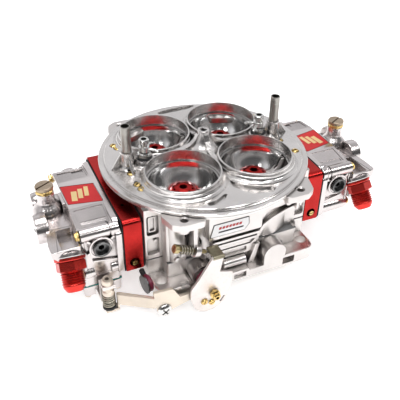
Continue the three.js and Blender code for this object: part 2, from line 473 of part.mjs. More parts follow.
// Eccentric disc that pushes the pump lever down as the throttle opens.
function pumpCam(sx, offsetAngle) {
  const angle = THREE.MathUtils.degToRad(offsetAngle);
  const [x, z] = [SHAFT.x * sx + 3 * Math.cos(angle), SHAFT.z + 3 * Math.sin(angle)];
  const disc = rod(12.3, v3(x, sx * 84.2, z), v3(x, sx * 87.6, z), 24);
  const holeR = sx < 0 ? 8 + GAP : SHAFT.r + GAP;
  return cut(disc, rod(holeR, v3(SHAFT.x * sx, sx * 83, SHAFT.z), v3(SHAFT.x * sx, sx * 89, SHAFT.z), 20));
}
function linkLever(sx) {
  const { lever, pin } = LINK;
  const x = SHAFT.x * sx;
  const arm = plateXZ([[x - 8, SHAFT.z - 6], [x + 8, SHAFT.z - 6], [x + 5, SHAFT.z + pin + 4],
    [x - 5, SHAFT.z + pin + 4]], lever, lever + 2.5);
  const hub = rod(9, v3(x, lever, SHAFT.z), v3(x, lever + 2.5, SHAFT.z), 20);
  const stud = rod(2.2, v3(x, lever + 1, SHAFT.z + pin), v3(x, lever + 6, SHAFT.z + pin), 14);
  return join(arm, hub, stud);
}
function throttleLink() {
  const [y0, y1, z] = [LINK.lever + 2.8, LINK.lever + 5, SHAFT.z + LINK.pin];
  const ends = [-1, 1].map((s) => rod(5, v3(SHAFT.x * s, y0, z), v3(SHAFT.x * s, y1, z), 18));
  const bar = box(-SHAFT.x, SHAFT.x, y0, y1, z - 3.5, z + 3.5);
  const holes = [-1, 1].map((s) =>
    rod(2.7, v3(SHAFT.x * s, y0 - 1, z), v3(SHAFT.x * s, y1 + 1, z), 14));
  return cut(join(bar, ...ends), ...holes);
}
function idleScrew() {
  const length = idlePoint(0).distanceTo(v3(IDLE.tipX, IDLE.y, IDLE.tipZ));
  const profile = [[0, -2], [3.8, -2], [3.8, 2], [1.8, 2], [1.8, length], [0, length]];
  const slot = box(IDLE.headX - 4, IDLE.headX - 1.6, IDLE.y - 0.5, IDLE.y + 0.5,
    IDLE.headZ - 4, IDLE.headZ + 6);
  return cut(lathe(profile, idlePoint(0), idleDirection(), 16), slot);
}

// ---- assembly ----
node("main_body", mainBody(), "aluminium");
node("throttle_body", throttleBody(), "aluminium");
node("body_gasket", bodyGasket(), "gasket");
for (const [name, sx, sy] of CORNERS) {
  const side = BOOSTER_SIDE[name];
  node("venturi_sleeve_" + name, cut(venturiSleeve(sx, sy), sleeveSlot(sx, sy, side)), "polished");
  node("booster_" + name, booster(sx, sy, side), "red");
  node("throttle_plate_" + name, throttlePlate(sx, sy), "brass");
}
for (const [end, place] of ENDS) {
  const sign = end === "primary" ? -1 : 1;
  const nearSide = sign; // y side, before the secondary is turned, that ends up on the lever side
  const atEnd = end === "primary" ? place : mirrorX;
  node("vent_tube_" + end, ventTube(sign), "steel");
  node("pump_nozzle_" + end, pumpNozzle(sign), "steel");
  node("metering_block_" + end, place(meteringBlock()), "red");
  node("block_gasket_" + end, place(flatGasket(BODY.end + GAP)), "gasket");
  node("bowl_gasket_" + end, place(flatGasket(BLOCK.outer + GAP)), "gasket");
  node("fuel_bowl_" + end, place(fuelBowl(nearSide)), "aluminium");
  node("fuel_fitting_" + end, atEnd(fuelFitting()), "red");
  node("sight_plug_" + end, atEnd(sightPlug()), "steel");
  node("needle_adjuster_" + end, place(needleAdjuster()), "brass");
  node("inlet_needle_" + end, place(inletNeedle()), "steel");
  node("float_" + end, place(float()), "black");
  node("pump_diaphragm_" + end, place(pumpDiaphragm()), "teal");
  node("pump_cover_" + end, place(pumpCover()), "aluminium");
  node("pump_arm_" + end, place(pumpArm()), "zinc");
  node("pump_arm_bolt_" + end, place(pumpBolt()), "steel");
  node("pump_lever_" + end, place(pumpLever()), "zinc");
  node("mixture_screw_" + end + "_near", place(mixtureScrew(nearSide)), "brass");
  node("mixture_screw_" + end + "_far", place(mixtureScrew(-nearSide)), "brass");
  node("throttle_shaft_" + end, throttleShaft(sign), "steel");
  node("link_lever_" + end, linkLever(sign), "zinc");
  node("pump_cam_" + end, pumpCam(sign, CAM_LOBE[end]), "maroon");
}
node("throttle_lever", throttleLever(), "zinc");
node("throttle_link", throttleLink(), "zinc");
node("idle_screw", idleScrew(), "brass");

export default carburetor;
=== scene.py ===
"""Look of the four-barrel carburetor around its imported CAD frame. Shapes are in millimetres until piece()
scales them. X runs from the primary to the secondary end, and -Y is the side of the throttle lever."""
from math import cos, pi, radians, sin, tan

import bmesh
import bpy
from mathutils import Matrix, Vector


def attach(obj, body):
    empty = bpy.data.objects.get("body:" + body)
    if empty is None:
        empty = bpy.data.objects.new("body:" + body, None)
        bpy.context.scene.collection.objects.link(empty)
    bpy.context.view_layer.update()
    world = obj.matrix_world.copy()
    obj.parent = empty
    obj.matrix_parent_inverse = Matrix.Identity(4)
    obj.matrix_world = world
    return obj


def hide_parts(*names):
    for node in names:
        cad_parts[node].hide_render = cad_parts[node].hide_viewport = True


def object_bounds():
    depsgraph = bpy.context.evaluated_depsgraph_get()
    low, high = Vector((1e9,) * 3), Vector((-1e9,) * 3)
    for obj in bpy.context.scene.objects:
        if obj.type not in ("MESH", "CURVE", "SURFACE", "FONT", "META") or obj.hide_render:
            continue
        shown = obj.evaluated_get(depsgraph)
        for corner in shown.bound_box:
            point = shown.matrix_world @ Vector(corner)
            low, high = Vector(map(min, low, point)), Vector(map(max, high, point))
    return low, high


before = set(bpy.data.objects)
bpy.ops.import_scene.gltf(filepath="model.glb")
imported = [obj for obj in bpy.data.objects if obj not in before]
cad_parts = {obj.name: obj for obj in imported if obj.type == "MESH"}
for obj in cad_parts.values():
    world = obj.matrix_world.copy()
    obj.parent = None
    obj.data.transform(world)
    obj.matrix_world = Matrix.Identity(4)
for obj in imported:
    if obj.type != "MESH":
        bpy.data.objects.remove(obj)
cad_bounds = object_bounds()
MM = 0.001
ENDS = (("primary", -1), ("secondary", 1))
CORNERS = (("primary_near", -1, -1), ("primary_far", -1, 1), ("secondary_near", 1, -1),
           ("secondary_far", 1, 1))
Z = Vector((0, 0, 1))
NEAR = Vector((0, -1, 0))
BORE_X, BORE_Y = 33.6, 34.5
SHAFT_X, SHAFT_Z = 34, 17
STUD = 68.33
VENT_X, SQUIRTER_X = 70.4, 55
EAR_X, EAR_Y = 52, 81
TOWER = (-142, 0, 0)
BLOCK_MIDDLE = -86
SCREW_WELL_Z = 29
PLUG_X, PLUG_Z = -112.3, 53
PUMP_X, PUMP_BOLT_Y = -112.5, -61
PIVOT_X, PIVOT_Z = -73, -2
LEVER_FACE = -91


# ---------------------------------------------------------------- shapes
def made(verts, faces):
    mesh = bpy.data.meshes.new("tmp")
    mesh.from_pydata([tuple(v) for v in verts], [], faces)
    bm = bmesh.new()
    bm.from_mesh(mesh)
    bmesh.ops.remove_doubles(bm, verts=bm.verts, dist=1e-5)
    bmesh.ops.recalc_face_normals(bm, faces=bm.faces)
    bm.to_mesh(mesh)
    bm.free()
    obj = bpy.data.objects.new("tmp", mesh)
    bpy.context.scene.collection.objects.link(obj)
    return obj


def rounded(points, r, steps=4, closed=True, skip=()):
    """The outline with its corners rounded to about radius r; skip holds the places of corners that stay."""
    out, n = [], len(points)
    for i, p in enumerate(points):
        p = Vector(p)
        if i in skip or (not closed and i in (0, n - 1)):
            out.append(tuple(p))
            continue
        a, b = Vector(points[i - 1]) - p, Vector(points[(i + 1) % n]) - p
        if a.length < 1e-6 or b.length < 1e-6:
            continue
        half = a.angle(b) / 2
        if half > radians(88):
            out.append(tuple(p))
            continue
        reach = min(r / tan(half), a.length * 0.48, b.length * 0.48)
        p0, p1 = p + a.normalized() * reach, p + b.normalized() * reach
        for k in range(steps + 1):
            t = k / steps
            out.append(tuple(p0 * (1 - t) ** 2 + p * 2 * t * (1 - t) + p1 * t ** 2))
    return out


def lathe(profile, at=(0, 0, 0), axis=Z, n=48, phase=0.0):
    """Turns [radius, height] pairs about an axis; a profile that ends where it starts makes a ring."""
    turn, at = Z.rotation_difference(Vector(axis).normalized()), Vector(at)
    ring = tuple(profile[0]) == tuple(profile[-1])
    points = profile[:-1] if ring else profile
    verts, rows = [], []
    for r, h in points:
        count = 1 if r < 1e-6 else n
        rows.append(list(range(len(verts), len(verts) + count)))
        for k in range(count):
            a = phase + 2 * pi * k / n
            verts.append(turn @ Vector((r * cos(a), r * sin(a), h)) + at)
    faces = []
    for i in range(len(rows) if ring else len(rows) - 1):
        lo, hi = rows[i], rows[(i + 1) % len(rows)]
        for k in range(n):
            m = (k + 1) % n
            quad = [lo[k % len(lo)], lo[m % len(lo)], hi[m % len(hi)], hi[k % len(hi)]]
            face = list(dict.fromkeys(quad))
            if len(face) > 2:
                faces.append(face)
    return made(verts, faces)


def soft_lathe(profile, at=(0, 0, 0), axis=Z, n=48, edge=0.3):
    """A lathed shape whose corners are softened."""
    return lathe(rounded(profile, edge, 2, False), at, axis, n)


def ring(points, at=(0, 0, 0), axis=Z, n=48):
    """A lathed ring; points is its section, each corner once."""
    return lathe(points + points[:1], at, axis, n)


def ring_cut(r0, r1, h0, h1, at=(0, 0, 0), axis=Z, n=48):
    """A ring with a square section."""
    return ring([(r0, h0), (r1, h0), (r1, h1), (r0, h1)], at, axis, n)


def disc(r, h0, h1, at=(0, 0, 0), axis=Z, n=48, phase=0.0):
    return lathe([(0, h0), (r, h0), (r, h1), (0, h1)], at, axis, n, phase)


def rod(r, a, b, n=32, edge=0.0):
    """A round bar from a to b with softened ends."""
    a, b = Vector(a), Vector(b)
    h = (b - a).length
    profile = [(0, 0), (r, 0), (r, h), (0, h)]
    return lathe(rounded(profile, edge, 2, False) if edge else profile, a, b - a, n)


def post(r, x, y, z0, z1, n=32, edge=0.0):
    """An upright rod."""
    return rod(r, (x, y, z0), (x, y, z1), n, edge)


AXES = {"z": (0, 1, 2), "y": (0, 2, 1), "x": (1, 2, 0)}


def prism(points, lo, hi, axis="z", edge=0.0, steps=2):
    """Extrudes an outline; it is in (x, y) for z, (x, z) for y and (y, z) for x."""
    i, j, k = AXES[axis]
    verts = []
    for level in (lo, hi):
        for p in points:
            v = [0, 0, 0]
            v[i], v[j], v[k] = p[0], p[1], level
            verts.append(v)
    n = len(points)
    faces = [list(range(n)), list(range(2 * n - 1, n - 1, -1))]
    faces += [[m, (m + 1) % n, n + (m + 1) % n, n + m] for m in range(n)]
    return bevelled(made(verts, faces), edge, steps)


def bevelled(obj, width, steps, angle=40):
    if not width:
        return obj
    bm = bmesh.new()
    bm.from_mesh(obj.data)
    edges = [e for e in bm.edges if len(e.link_faces) == 2 and e.calc_face_angle(0) > radians(angle)]
    bmesh.ops.bevel(bm, geom=edges, offset=width, segments=steps, profile=0.5, affect="EDGES",
                    clamp_overlap=True)
    bm.to_mesh(obj.data)
    bm.free()
    return obj


def rect(x0, x1, y0, y1, r=0.0, steps=4):
    points = [(x0, y0), (x1, y0), (x1, y1), (x0, y1)]
    return rounded(points, r, steps) if r else points


def box(x0, x1, y0, y1, z0, z1, r=0.0, axis="z", edge=0.0):
    """A block; r rounds the edges along axis, edge softens the rest."""
    spans = {0: (x0, x1), 1: (y0, y1), 2: (z0, z1)}
    i, j, k = AXES[axis]
    (a0, a1), (b0, b1), (lo, hi) = (sorted(spans[m]) for m in (i, j, k))
    return prism(rect(a0, a1, b0, b1, r), lo, hi, axis, edge)


def sweep(path, r, n=8):
    """A round wire along a path."""
    path = [Vector(p) for p in path]
    normal = (path[1] - path[0]).orthogonal().normalized()
    verts, m = [], len(path)
    for i, p in enumerate(path):
        tangent = (path[min(i + 1, m - 1)] - path[max(i - 1, 0)]).normalized()
        normal = (normal - tangent * normal.dot(tangent)).normalized()
        side = tangent.cross(normal)
        verts += [p + normal * r * cos(2 * pi * k / n) + side * r * sin(2 * pi * k / n) for k in range(n)]
    faces = [[i * n + k, i * n + (k + 1) % n, (i + 1) * n + (k + 1) % n, (i + 1) * n + k]
             for i in range(m - 1) for k in range(n)]
    faces += [list(range(n)), list(range(m * n - 1, (m - 1) * n - 1, -1))]
    return made(verts, faces)


def coil(a, b, radius, wire, turns):
    a, b = Vector(a), Vector(b)
    turn = Z.rotation_difference((b - a).normalized())
    length, count = (b - a).length, int(turns * 20)
    angles = [2 * pi * turns * k / count for k in range(count + 1)]
    return sweep([a + turn @ Vector((radius * cos(t), radius * sin(t), length * k / count))
                  for k, t in enumerate(angles)], wire)


def evaluated(obj):
    graph = bpy.context.evaluated_depsgraph_get()
    mesh = bpy.data.meshes.new_from_object(obj.evaluated_get(graph))
    obj.modifiers.clear()
    obj.data = mesh
    return obj


def build(base, *steps):
    """Adds (+, shape) and cuts (-, shape) one after another."""
    tools = [(sign, t) for sign, tool in steps for t in (tool if isinstance(tool, list) else [tool])]
    for sign, tool in tools:
        mod = base.modifiers.new("bool", "BOOLEAN")
        mod.operation = "UNION" if sign == "+" else "DIFFERENCE"
        mod.solver = "MANIFOLD"
        mod.object = tool
    evaluated(base)
    for _, tool in tools:
        bpy.data.objects.remove(tool)
    return base


def merged(*objs):
    """Several separate shells as one object."""
    bm = bmesh.new()
    for o in objs:
        bm.from_mesh(o.data)
    mesh = bpy.data.meshes.new("tmp")
    bm.to_mesh(mesh)
    bm.free()
    for o in objs[1:]:
        bpy.data.objects.remove(o)
    objs[0].data = mesh
    return objs[0]


def flipped(obj, axis=(1, 0, 0)):
    obj.data.transform(Matrix.Scale(-1, 4, axis))
    obj.data.flip_normals()
    return obj


def mirrored(obj, s):
    """obj as it is for s = -1, mirrored in x for s = 1."""
    return flipped(obj) if s > 0 else obj


def turned(obj, s):
    """obj as it is for s = -1, turned half round about Z for s = 1."""
    if s > 0:
        obj.data.transform(Matrix.Rotation(pi, 4, "Z"))
    return obj


def for_side(points, s):
    """An (x, z) outline as it is for s = -1, mirrored for s = 1."""
    return [(-x, z) for x, z in points] if s > 0 else points


def aimed(tool, at, axis, spin=0.0):
    """Takes a tool made about Z at the origin to a place and a direction."""
    tool.data.transform(Matrix.Rotation(radians(spin), 4, "Z"))
    tool.data.transform(Z.rotation_difference(axis).to_matrix().to_4x4())
    tool.data.transform(Matrix.Translation(at))
    return tool


def slot_outline(u, v, turn, length, half):
    """A thin rectangle about (u, v), for the screwdriver slots."""
    return [(u + a * cos(turn) - b * sin(turn), v + a * sin(turn) + b * cos(turn))
            for a, b in ((-length, -half), (length, -half), (length, half), (-length, half))]


def piece(name, obj, material, replaces=(), body="body", smooth=32):
    obj.name = obj.data.name = name
    obj.data.transform(Matrix.Scale(MM, 4))
    obj.data.materials.clear()
    obj.data.materials.append(material)
    obj.data.polygons.foreach_set("use_smooth", [True] * len(obj.data.polygons))
    obj.data.set_sharp_from_angle(angle=radians(smooth))
    weighted = obj.modifiers.new("normals", "WEIGHTED_NORMAL")
    weighted.keep_sharp = True
    weighted.weight = 80
    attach(obj, body)
    if replaces:
        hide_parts(*replaces)


# ---------------------------------------------------------------- materials
TONE_SCALE, PATCH_SCALE, SPOT_SCALE = 38, 24, 420
# painted shade: how dark, and how far from a crevice, the ambient occlusion darkening of the base colour goes
CREVICE_SHADE, CREVICE_REACH = 0.3, 0.006
RELIEF_DEPTH, LINE_DEPTH = 0.0002, 0.0001


def finish(name, color, rough, metallic=1.0, tint=0.06, grain=3150, bump=0.15, lines=None, spots=0.0):
    """A surface with patchy colour, uneven gloss, fine relief and painted shade darkening its crevices. grain
    is per metre, and lines is ("rings"|"x"|"y"|"z", per metre, strength)."""
    mat = bpy.data.materials.new(name)
    mat.use_nodes = True
    nodes, links = mat.node_tree.nodes, mat.node_tree.links
    shader = nodes["Principled BSDF"]
    shader.inputs["Metallic"].default_value = metallic
    place = nodes.new("ShaderNodeTexCoord").outputs["Object"]

    def noise(scale, detail):
        n = nodes.new("ShaderNodeTexNoise")
        n.inputs["Scale"].default_value = scale
        n.inputs["Detail"].default_value = detail
        links.new(place, n.inputs["Vector"])
        return n.outputs["Fac"]

    def ranged(value, lo, hi, start=0.3, end=0.7):
        m = nodes.new("ShaderNodeMapRange")
        for key, v in (("From Min", start), ("From Max", end), ("To Min", lo), ("To Max", hi)):
            m.inputs[key].default_value = v
        links.new(value, m.inputs["Value"])
        return m.outputs["Result"]

    def mixed(factor, a, b):
        m = nodes.new("ShaderNodeMix")
        m.data_type = "RGBA"
        links.new(factor, m.inputs["Factor"])
        for socket, v in ((m.inputs["A"], a), (m.inputs["B"], b)):
            if isinstance(v, tuple):
                socket.default_value = (*v, 1)
            else:
                links.new(v, socket)
        return m.outputs["Result"]

    def raised(height, strength, depth):
        b = nodes.new("ShaderNodeBump")
        b.inputs["Strength"].default_value = strength
        b.inputs["Distance"].default_value = depth
        links.new(height, b.inputs["Height"])
        return b

    def shaded(k):
        return tuple(min(1.0, c * k) for c in color)

    tone = mixed(ranged(noise(TONE_SCALE, 5), 0, 1), shaded(1 - 2.2 * tint), shaded(1 + tint))
    # painted shade: an ambient occlusion node darkens the base colour in crevices, recesses and between parts
    painted_crevice_shade = nodes.new("ShaderNodeAmbientOcclusion")
    painted_crevice_shade.samples = 6
    painted_crevice_shade.inputs["Distance"].default_value = CREVICE_REACH
    tone = mixed(ranged(painted_crevice_shade.outputs["AO"], 0, 1, 0.15, 0.75), shaded(CREVICE_SHADE), tone)
    if spots:
        tone = mixed(ranged(noise(SPOT_SCALE, 2), 0, spots, 0.56, 0.66), tone, shaded(0.55))
    links.new(tone, shader.inputs["Base Color"])
    patch, fine = ranged(noise(PATCH_SCALE, 4), rough * 0.75, rough * 1.3), noise(grain, 2)
    gloss = nodes.new("ShaderNodeMath")
    gloss.operation = "MULTIPLY_ADD"
    gloss.use_clamp = True
    links.new(fine, gloss.inputs[0])
    gloss.inputs[1].default_value = rough * 0.4
    links.new(patch, gloss.inputs[2])
    links.new(gloss.outputs[0], shader.inputs["Roughness"])
    surface = raised(fine, bump, RELIEF_DEPTH)
    if lines:
        kind, per_metre, strength = lines
        wave = nodes.new("ShaderNodeTexWave")
        if kind == "rings":
            wave.wave_type, wave.rings_direction = "RINGS", "Z"
        else:
            wave.wave_type, wave.bands_direction = "BANDS", kind.upper()
        for key, v in (("Scale", per_metre), ("Distortion", 1.5), ("Detail", 2), ("Detail Scale", 3)):
            wave.inputs[key].default_value = v
        links.new(place, wave.inputs["Vector"])
        tool_marks = raised(wave.outputs["Fac"], strength, LINE_DEPTH)
        links.new(surface.outputs[0], tool_marks.inputs["Normal"])
        surface = tool_marks
    links.new(surface.outputs[0], shader.inputs["Normal"])
    return mat


CAST = finish("cast aluminium", (0.69, 0.655, 0.635), 0.25, tint=0.05, grain=4900, bump=0.12)
HORN = finish("turned aluminium", (0.68, 0.655, 0.64), 0.2, tint=0.04, grain=2450, bump=0.03,
              lines=("rings", 900, 0.05))
BOWL = finish("bowl aluminium", (0.66, 0.615, 0.605), 0.19, tint=0.05, bump=0.04, lines=("y", 1400, 0.03))
POLISHED = finish("polished aluminium", (0.66, 0.655, 0.65), 0.10, tint=0.03, grain=1050, bump=0.03,
                  lines=("z", 1200, 0.03))
RED = finish("red anodised", (0.46, 0.024, 0.022), 0.22, tint=0.12, grain=5250, bump=0.06)
WIRE = finish("spring wire", (0.40, 0.37, 0.30), 0.3, tint=0.15)
DARK_BRASS = finish("dark brass", (0.50, 0.41, 0.22), 0.26, tint=0.2, grain=2800, bump=0.2, spots=0.7)
BRONZE = finish("dull bronze", (0.50, 0.40, 0.30), 0.3, tint=0.15, grain=2450, bump=0.2, spots=0.5)
# a red of the fitting's own, with the base made brighter as painted light to make up for the shade on its
# down-facing faces
BRIGHTENED_FITTING = finish("red fitting with painted light", (0.66, 0.05, 0.04), 0.26, tint=0.1, grain=5250, bump=0.08)
GREY_SHEET = finish("grey sheet", (0.22, 0.22, 0.22), 0.6, metallic=0.0, tint=0.15, grain=4200, bump=0.3)
BRASS = finish("brass", (0.78, 0.56, 0.22), 0.22, tint=0.12, spots=0.5)
STEEL = finish("tube steel", (0.42, 0.40, 0.37), 0.24, tint=0.12, grain=2450, bump=0.12,
               lines=("z", 900, 0.06))
BRIGHT = finish("bright steel", (0.72, 0.71, 0.69), 0.17, tint=0.08, grain=2800, bump=0.1)
DARK_STEEL = finish("dark steel", (0.16, 0.16, 0.16), 0.3, tint=0.15)
ZINC = finish("zinc plate", (0.86, 0.80, 0.77), 0.42, metallic=0.85, tint=0.05, grain=3500, bump=0.25,
              spots=0.12)
# for the lever tab: real speckles and blotches, on a base much darker than the zinc of the lever it is bent
# from, as painted shade for the dark surroundings it reflects
SHADED_SPECKLED_ZINC = finish("speckled zinc with painted shade", (0.42, 0.38, 0.27), 0.34, tint=0.3, grain=1750, bump=0.4, spots=1.0)
CREAM = finish("yellow zinc", (0.76, 0.675, 0.575), 0.4, metallic=0.8, tint=0.07, bump=0.2)
BLACK = finish("black sheet", (0.012, 0.012, 0.013), 0.6, metallic=0.0, tint=0.2, grain=5250, bump=0.3)
RUBBER = finish("black rubber", (0.015, 0.015, 0.016), 0.5, metallic=0.0, tint=0.2, bump=0.2)
TEAL = finish("teal sheet", (0.02, 0.25, 0.22), 0.55, metallic=0.0, tint=0.15, grain=5250, bump=0.3)
MAROON = finish("maroon plastic", (0.20, 0.02, 0.05), 0.3, metallic=0.0, tint=0.15, grain=2450, bump=0.1)
BADGE = finish("badge enamel", (0.52, 0.006, 0.008), 0.42, metallic=0.0, grain=2100, bump=0.06)
IVORY = finish("badge bars", (0.74, 0.55, 0.26), 0.4, metallic=0.2, tint=0.05, grain=2450, bump=0.1)
LABEL = finish("label plate", (0.86, 0.85, 0.85), 0.35, metallic=0.3, tint=0.03, grain=2800, bump=0.06)
FLOAT = finish("float foam", (0.02, 0.02, 0.02), 0.7, metallic=0.0, tint=0.2, bump=0.5)


# ---------------------------------------------------------------- air horn
def corners(make):
    return [make(sx, sy) for _, sx, sy in CORNERS]


def bore_at(sx, sy, z=0.0):
    return (BORE_X * sx, BORE_Y * sy, z)


def bores(r, z0, z1, n=96):
    return corners(lambda sx, sy: rod(r, bore_at(sx, sy, z0), bore_at(sx, sy, z1), n))


HORN_INSIDE, HORN_TOP = 84, 86.95
SLEEVE_SEAT = 31.2
VENT_RIB = [(-14.4, 84), (14.4, 84), (14.4, 87.4), (5.4, 101), (-5.4, 101), (-14.4, 87.4)]
# shallow hollows in the top of the horn
HOLLOWS = [[(0, -52), (-1.2, -63), (9.5, -78), (26, -81.4), (31, -76.8), (28, -74.0), (18, -70.2), (8, -63),
            (3.2, -57.8)],
           [(-31, -74.6), (-22, -74.0), (-12, -68.8), (-9.6, -69.6), (-15, -76.0), (-23.7, -80.0),
            (-29.5, -78.8)],
           [(-14, 80.5), (-12, 76.6), (2, 75.4), (16, 76.8), (25, 79.4), (26.5, 81.6), (22, 83), (5, 83.8),
            (-8, 82.6)]]
BLEEDS = [(-71.5, 37.4), (-69.6, 31.6), (-71.3, -11.5), (-71.7, -29.1), (-70.6, -36.2),
          (71.5, 37.4), (69.6, 31.6), (71.3, -12.5), (75.0, -33.8)]


def vent_foot(s):
    """The ribbed foot of a vent tube, with the tube's hole."""
    x = VENT_X * s
    return [("+", lathe([(0, HORN_INSIDE), (8.4, HORN_INSIDE), (8.4, HORN_TOP), (6.6, 87.8), (5.2, 90),
                         (4.9, 100.6), (0, 100.6)], (x, 0, 0), n=32)),
            ("+", lathe([(0, 90), (5.9, 90), (5.9, 101.2), (5.4, 102), (0, 102)], (x, 0, 0), n=32)),
            ("+", prism([(x + u, z) for u, z in VENT_RIB], -0.9, 0.9, "y", 0.4)),
            ("+", prism(VENT_RIB, x - 0.9, x + 0.9, "x", 0.4)),
            ("-", post(4.5, x, 0, 93, 104))]


def air_horn():
    rim = [(0, 79), (90.6, 79), (92.3, 79.9), (92.3, 81.3), (91.7, 81.6), (91.7, 82.0), (93, 82.3),
           (93, 84.2), (92.5, 84.7), (88.5, 84.7), (88, 85.1), (88, 86.3), (87.4, 86.9), (0, 86.9)]
    lip = [(0, 80), (37.4, 80), (37.4, HORN_TOP), (37.0, 87.5), (35.6, 87.7), (34.4, 88.4), (33.6, 89.6),
           (33.4, 91.0), (32.8, 91.3), (32.7, 93.9), (32.4, 94.4), (31.9, 94.6), (0, 94.6)]
    centre = [(0, HORN_INSIDE), (27, HORN_INSIDE), (26, HORN_TOP), (20.5, 87.7), (15.2, 89.7), (11.4, 92.6),
              (8.7, 96.3), (7.0, 100.3), (6.0, 104.2), (5.6, 106.4), (5.2, 107.2), (4.6, 107.5), (0, 107.5)]
    half_web = [(46, HORN_INSIDE), (44, 87.2), (38, 90.0), (31, 91.9), (20, 93.2), (13, 95.4), (8.6, 99.2),
                (5.2, 105.6)]
    web = [(-46, HORN_INSIDE)] + half_web + [(-x, z) for x, z in reversed(half_web[1:])]
    nozzle_pad = [(0, HORN_INSIDE), (13, HORN_INSIDE), (13, HORN_TOP), (10.8, 87.7), (9.5, 89.2), (9, 91.9),
                  (8.5, 92.5), (0, 92.5)]
    steps = [("+", corners(lambda sx, sy: lathe(lip, bore_at(sx, sy), n=128))), ("+", lathe(centre, n=64))]
    steps += [("+", prism(rounded(web, 3, 3), -2.3, 2.3, axis, 0.9)) for axis in "yx"]
    for s in (-1, 1):
        steps += [("+", lathe(nozzle_pad, (SQUIRTER_X * s, 0, 0)))] + vent_foot(s)
    steps += [("-", bores(SLEEVE_SEAT, 60, 120, 128)), ("-", post(2.6, 0, 0, 90, 110, 24)),
              ("-", lathe([(0, 106.4), (2.6, 106.4), (3.5, 108), (0, 108)], n=32))]
    steps += [("-", prism(rounded(points, 1.8, 4), 84.9, 88)) for points in HOLLOWS]
    steps += [("-", box(x - 1.6, x + 1.6, y + 3.0, y + 5.4, 84.6, 88, 1.0)) for x, y in BLEEDS[2:5]]
    seat = [(0, 84.5), (3.1, 84.5), (3.1, 86.2), (3.8, 87.2), (0, 87.2)]
    steps += [("-", lathe(seat, (x, y, 0), n=24)) for x, y in BLEEDS]
    return build(lathe(rim, n=192), *steps)


def ear(sx, sy):
    outline = [(34, 60), (36.5, 89), (56, 89), (63, 84), (67, 70), (60, 50)]
    plate = prism([(x * sx, y * sy) for x, y in rounded(outline, 4.5, 4)], 75.5, 81.7, edge=0.7)
    x, y = EAR_X * sx, EAR_Y * sy
    return build(plate,
                 ("+", post(5.2, x, 79.4 * sy, 69.5, 76, 24, 0.8)),
                 ("+", box(45 * sx, 59 * sx, 64 * sy, 86 * sy, 73.6, 76, 5, "z", 0.5)),
                 ("-", post(2.8, x, y, 60, 90, 24)),
                 ("-", lathe([(0, 80.6), (2.8, 80.6), (4.0, 82), (0, 82)], (x, y, 0), n=32)))


def air_bleed(x, y, turn):
    """A brass jet with a screwdriver slot and a drilling."""
    profile = [(0, 84.6), (3.0, 84.6), (3.0, 86.9), (2.2, 87.9), (0, 87.9)]
    jet = soft_lathe(profile, (x, y, 0), n=24, edge=0.25)
    return build(jet, ("-", prism(slot_outline(x, y, turn, 4, 0.5), 86.7, 88.5)),
                 ("-", post(1.0, x, y, 86, 89, 12)))


# ---------------------------------------------------------------- casting under the horn
IDLE_HEAD = Vector((-59, -80, 53.8))
IDLE_AXIS = Vector((26.8, 0, -11.9)).normalized()
WALL_FOOT, WALL_TOP = 29.4, 80


def idle_point(d):
    return IDLE_HEAD + IDLE_AXIS * d


def side_face(s):
    """The raised face and its shelves between the bore barrels, with the web that sweeps up under the ear."""
    face = [(-29, 80), (-29, 47), (-25, 43), (20, 43), (27, 50), (30, 57), (60, 60), (60, 80)]
    sweep_line = [(13.5, 29.4), (17.5, 33), (20.5, 40), (25, 46.5), (34, 52), (48, 57), (60, 60)]
    web = sweep_line + [(60, 57.2), (48, 54.2), (35, 49.2), (27.2, 44), (23.4, 38), (20.8, 31.5),
                        (18.5, 29.4)]
    barrels = [rod(33.5, (BORE_X * k, BORE_Y * s, WALL_FOOT), (BORE_X * k, BORE_Y * s, 78), 96)
               for k in (-1, 1)]
    return [("-", box(-24 * s, -62.6 * s, s * 62, s * 70, 29, 57, 5, "y")),
            ("+", barrels),
            ("+", prism(for_side(rounded(face, 2.5, 3), s), s * 60, s * 69, "y", 0.6)),
            ("+", box(28 * s, -22 * s, s * 60, s * 75, 46.4, WALL_TOP, 2, "y", 0.7)),
            ("+", box(-24, 21, s * 60, s * 74.6, 40.4, 43.2, 1, "y", 0.5)),
            ("+", box(-22, 19, s * 60, s * 73.0, 34.6, 37.4, 1, "y", 0.5)),
            ("-", box(-19, 15, s * 66, s * 80, 37.4, 40.4, 0.8, "y")),
            ("+", box(-22, 19, s * 60, s * 70.6, WALL_FOOT, 36, 1, "y", 0.5)),
            ("+", prism(for_side(web, s), s * 60, s * 72.2, "y", 0.6))]


def under_ear(sx, sy):
    """Two ribs and a boss under one pair of ears, a round column with a curved collar under the other."""
    if sx * sy < 0:
        return [("+", box(54 * sx, 56.4 * sx, 62 * sy, 76 * sy, 57, 76, 0.8, "z", 0.4)),
                ("+", box(59 * sx, 61.4 * sx, 62 * sy, 73 * sy, 57, 76, 0.8, "z", 0.4)),
                ("+", rod(3.4, (50 * sx, 62 * sy, 62), (50 * sx, 71.2 * sy, 62), 24, 0.7))]
    collar = [(0, 68.6), (10.4, 68.6), (11.6, 70.2), (11.6, 72), (12.6, 74), (12.6, 76), (0, 76)]
    return [("+", post(9.0, EAR_X * sx, 62.5 * sy, 30, 77, 48)),
            ("+", lathe(collar, (51.5 * sx, 66.0 * sy, 0), n=56))]


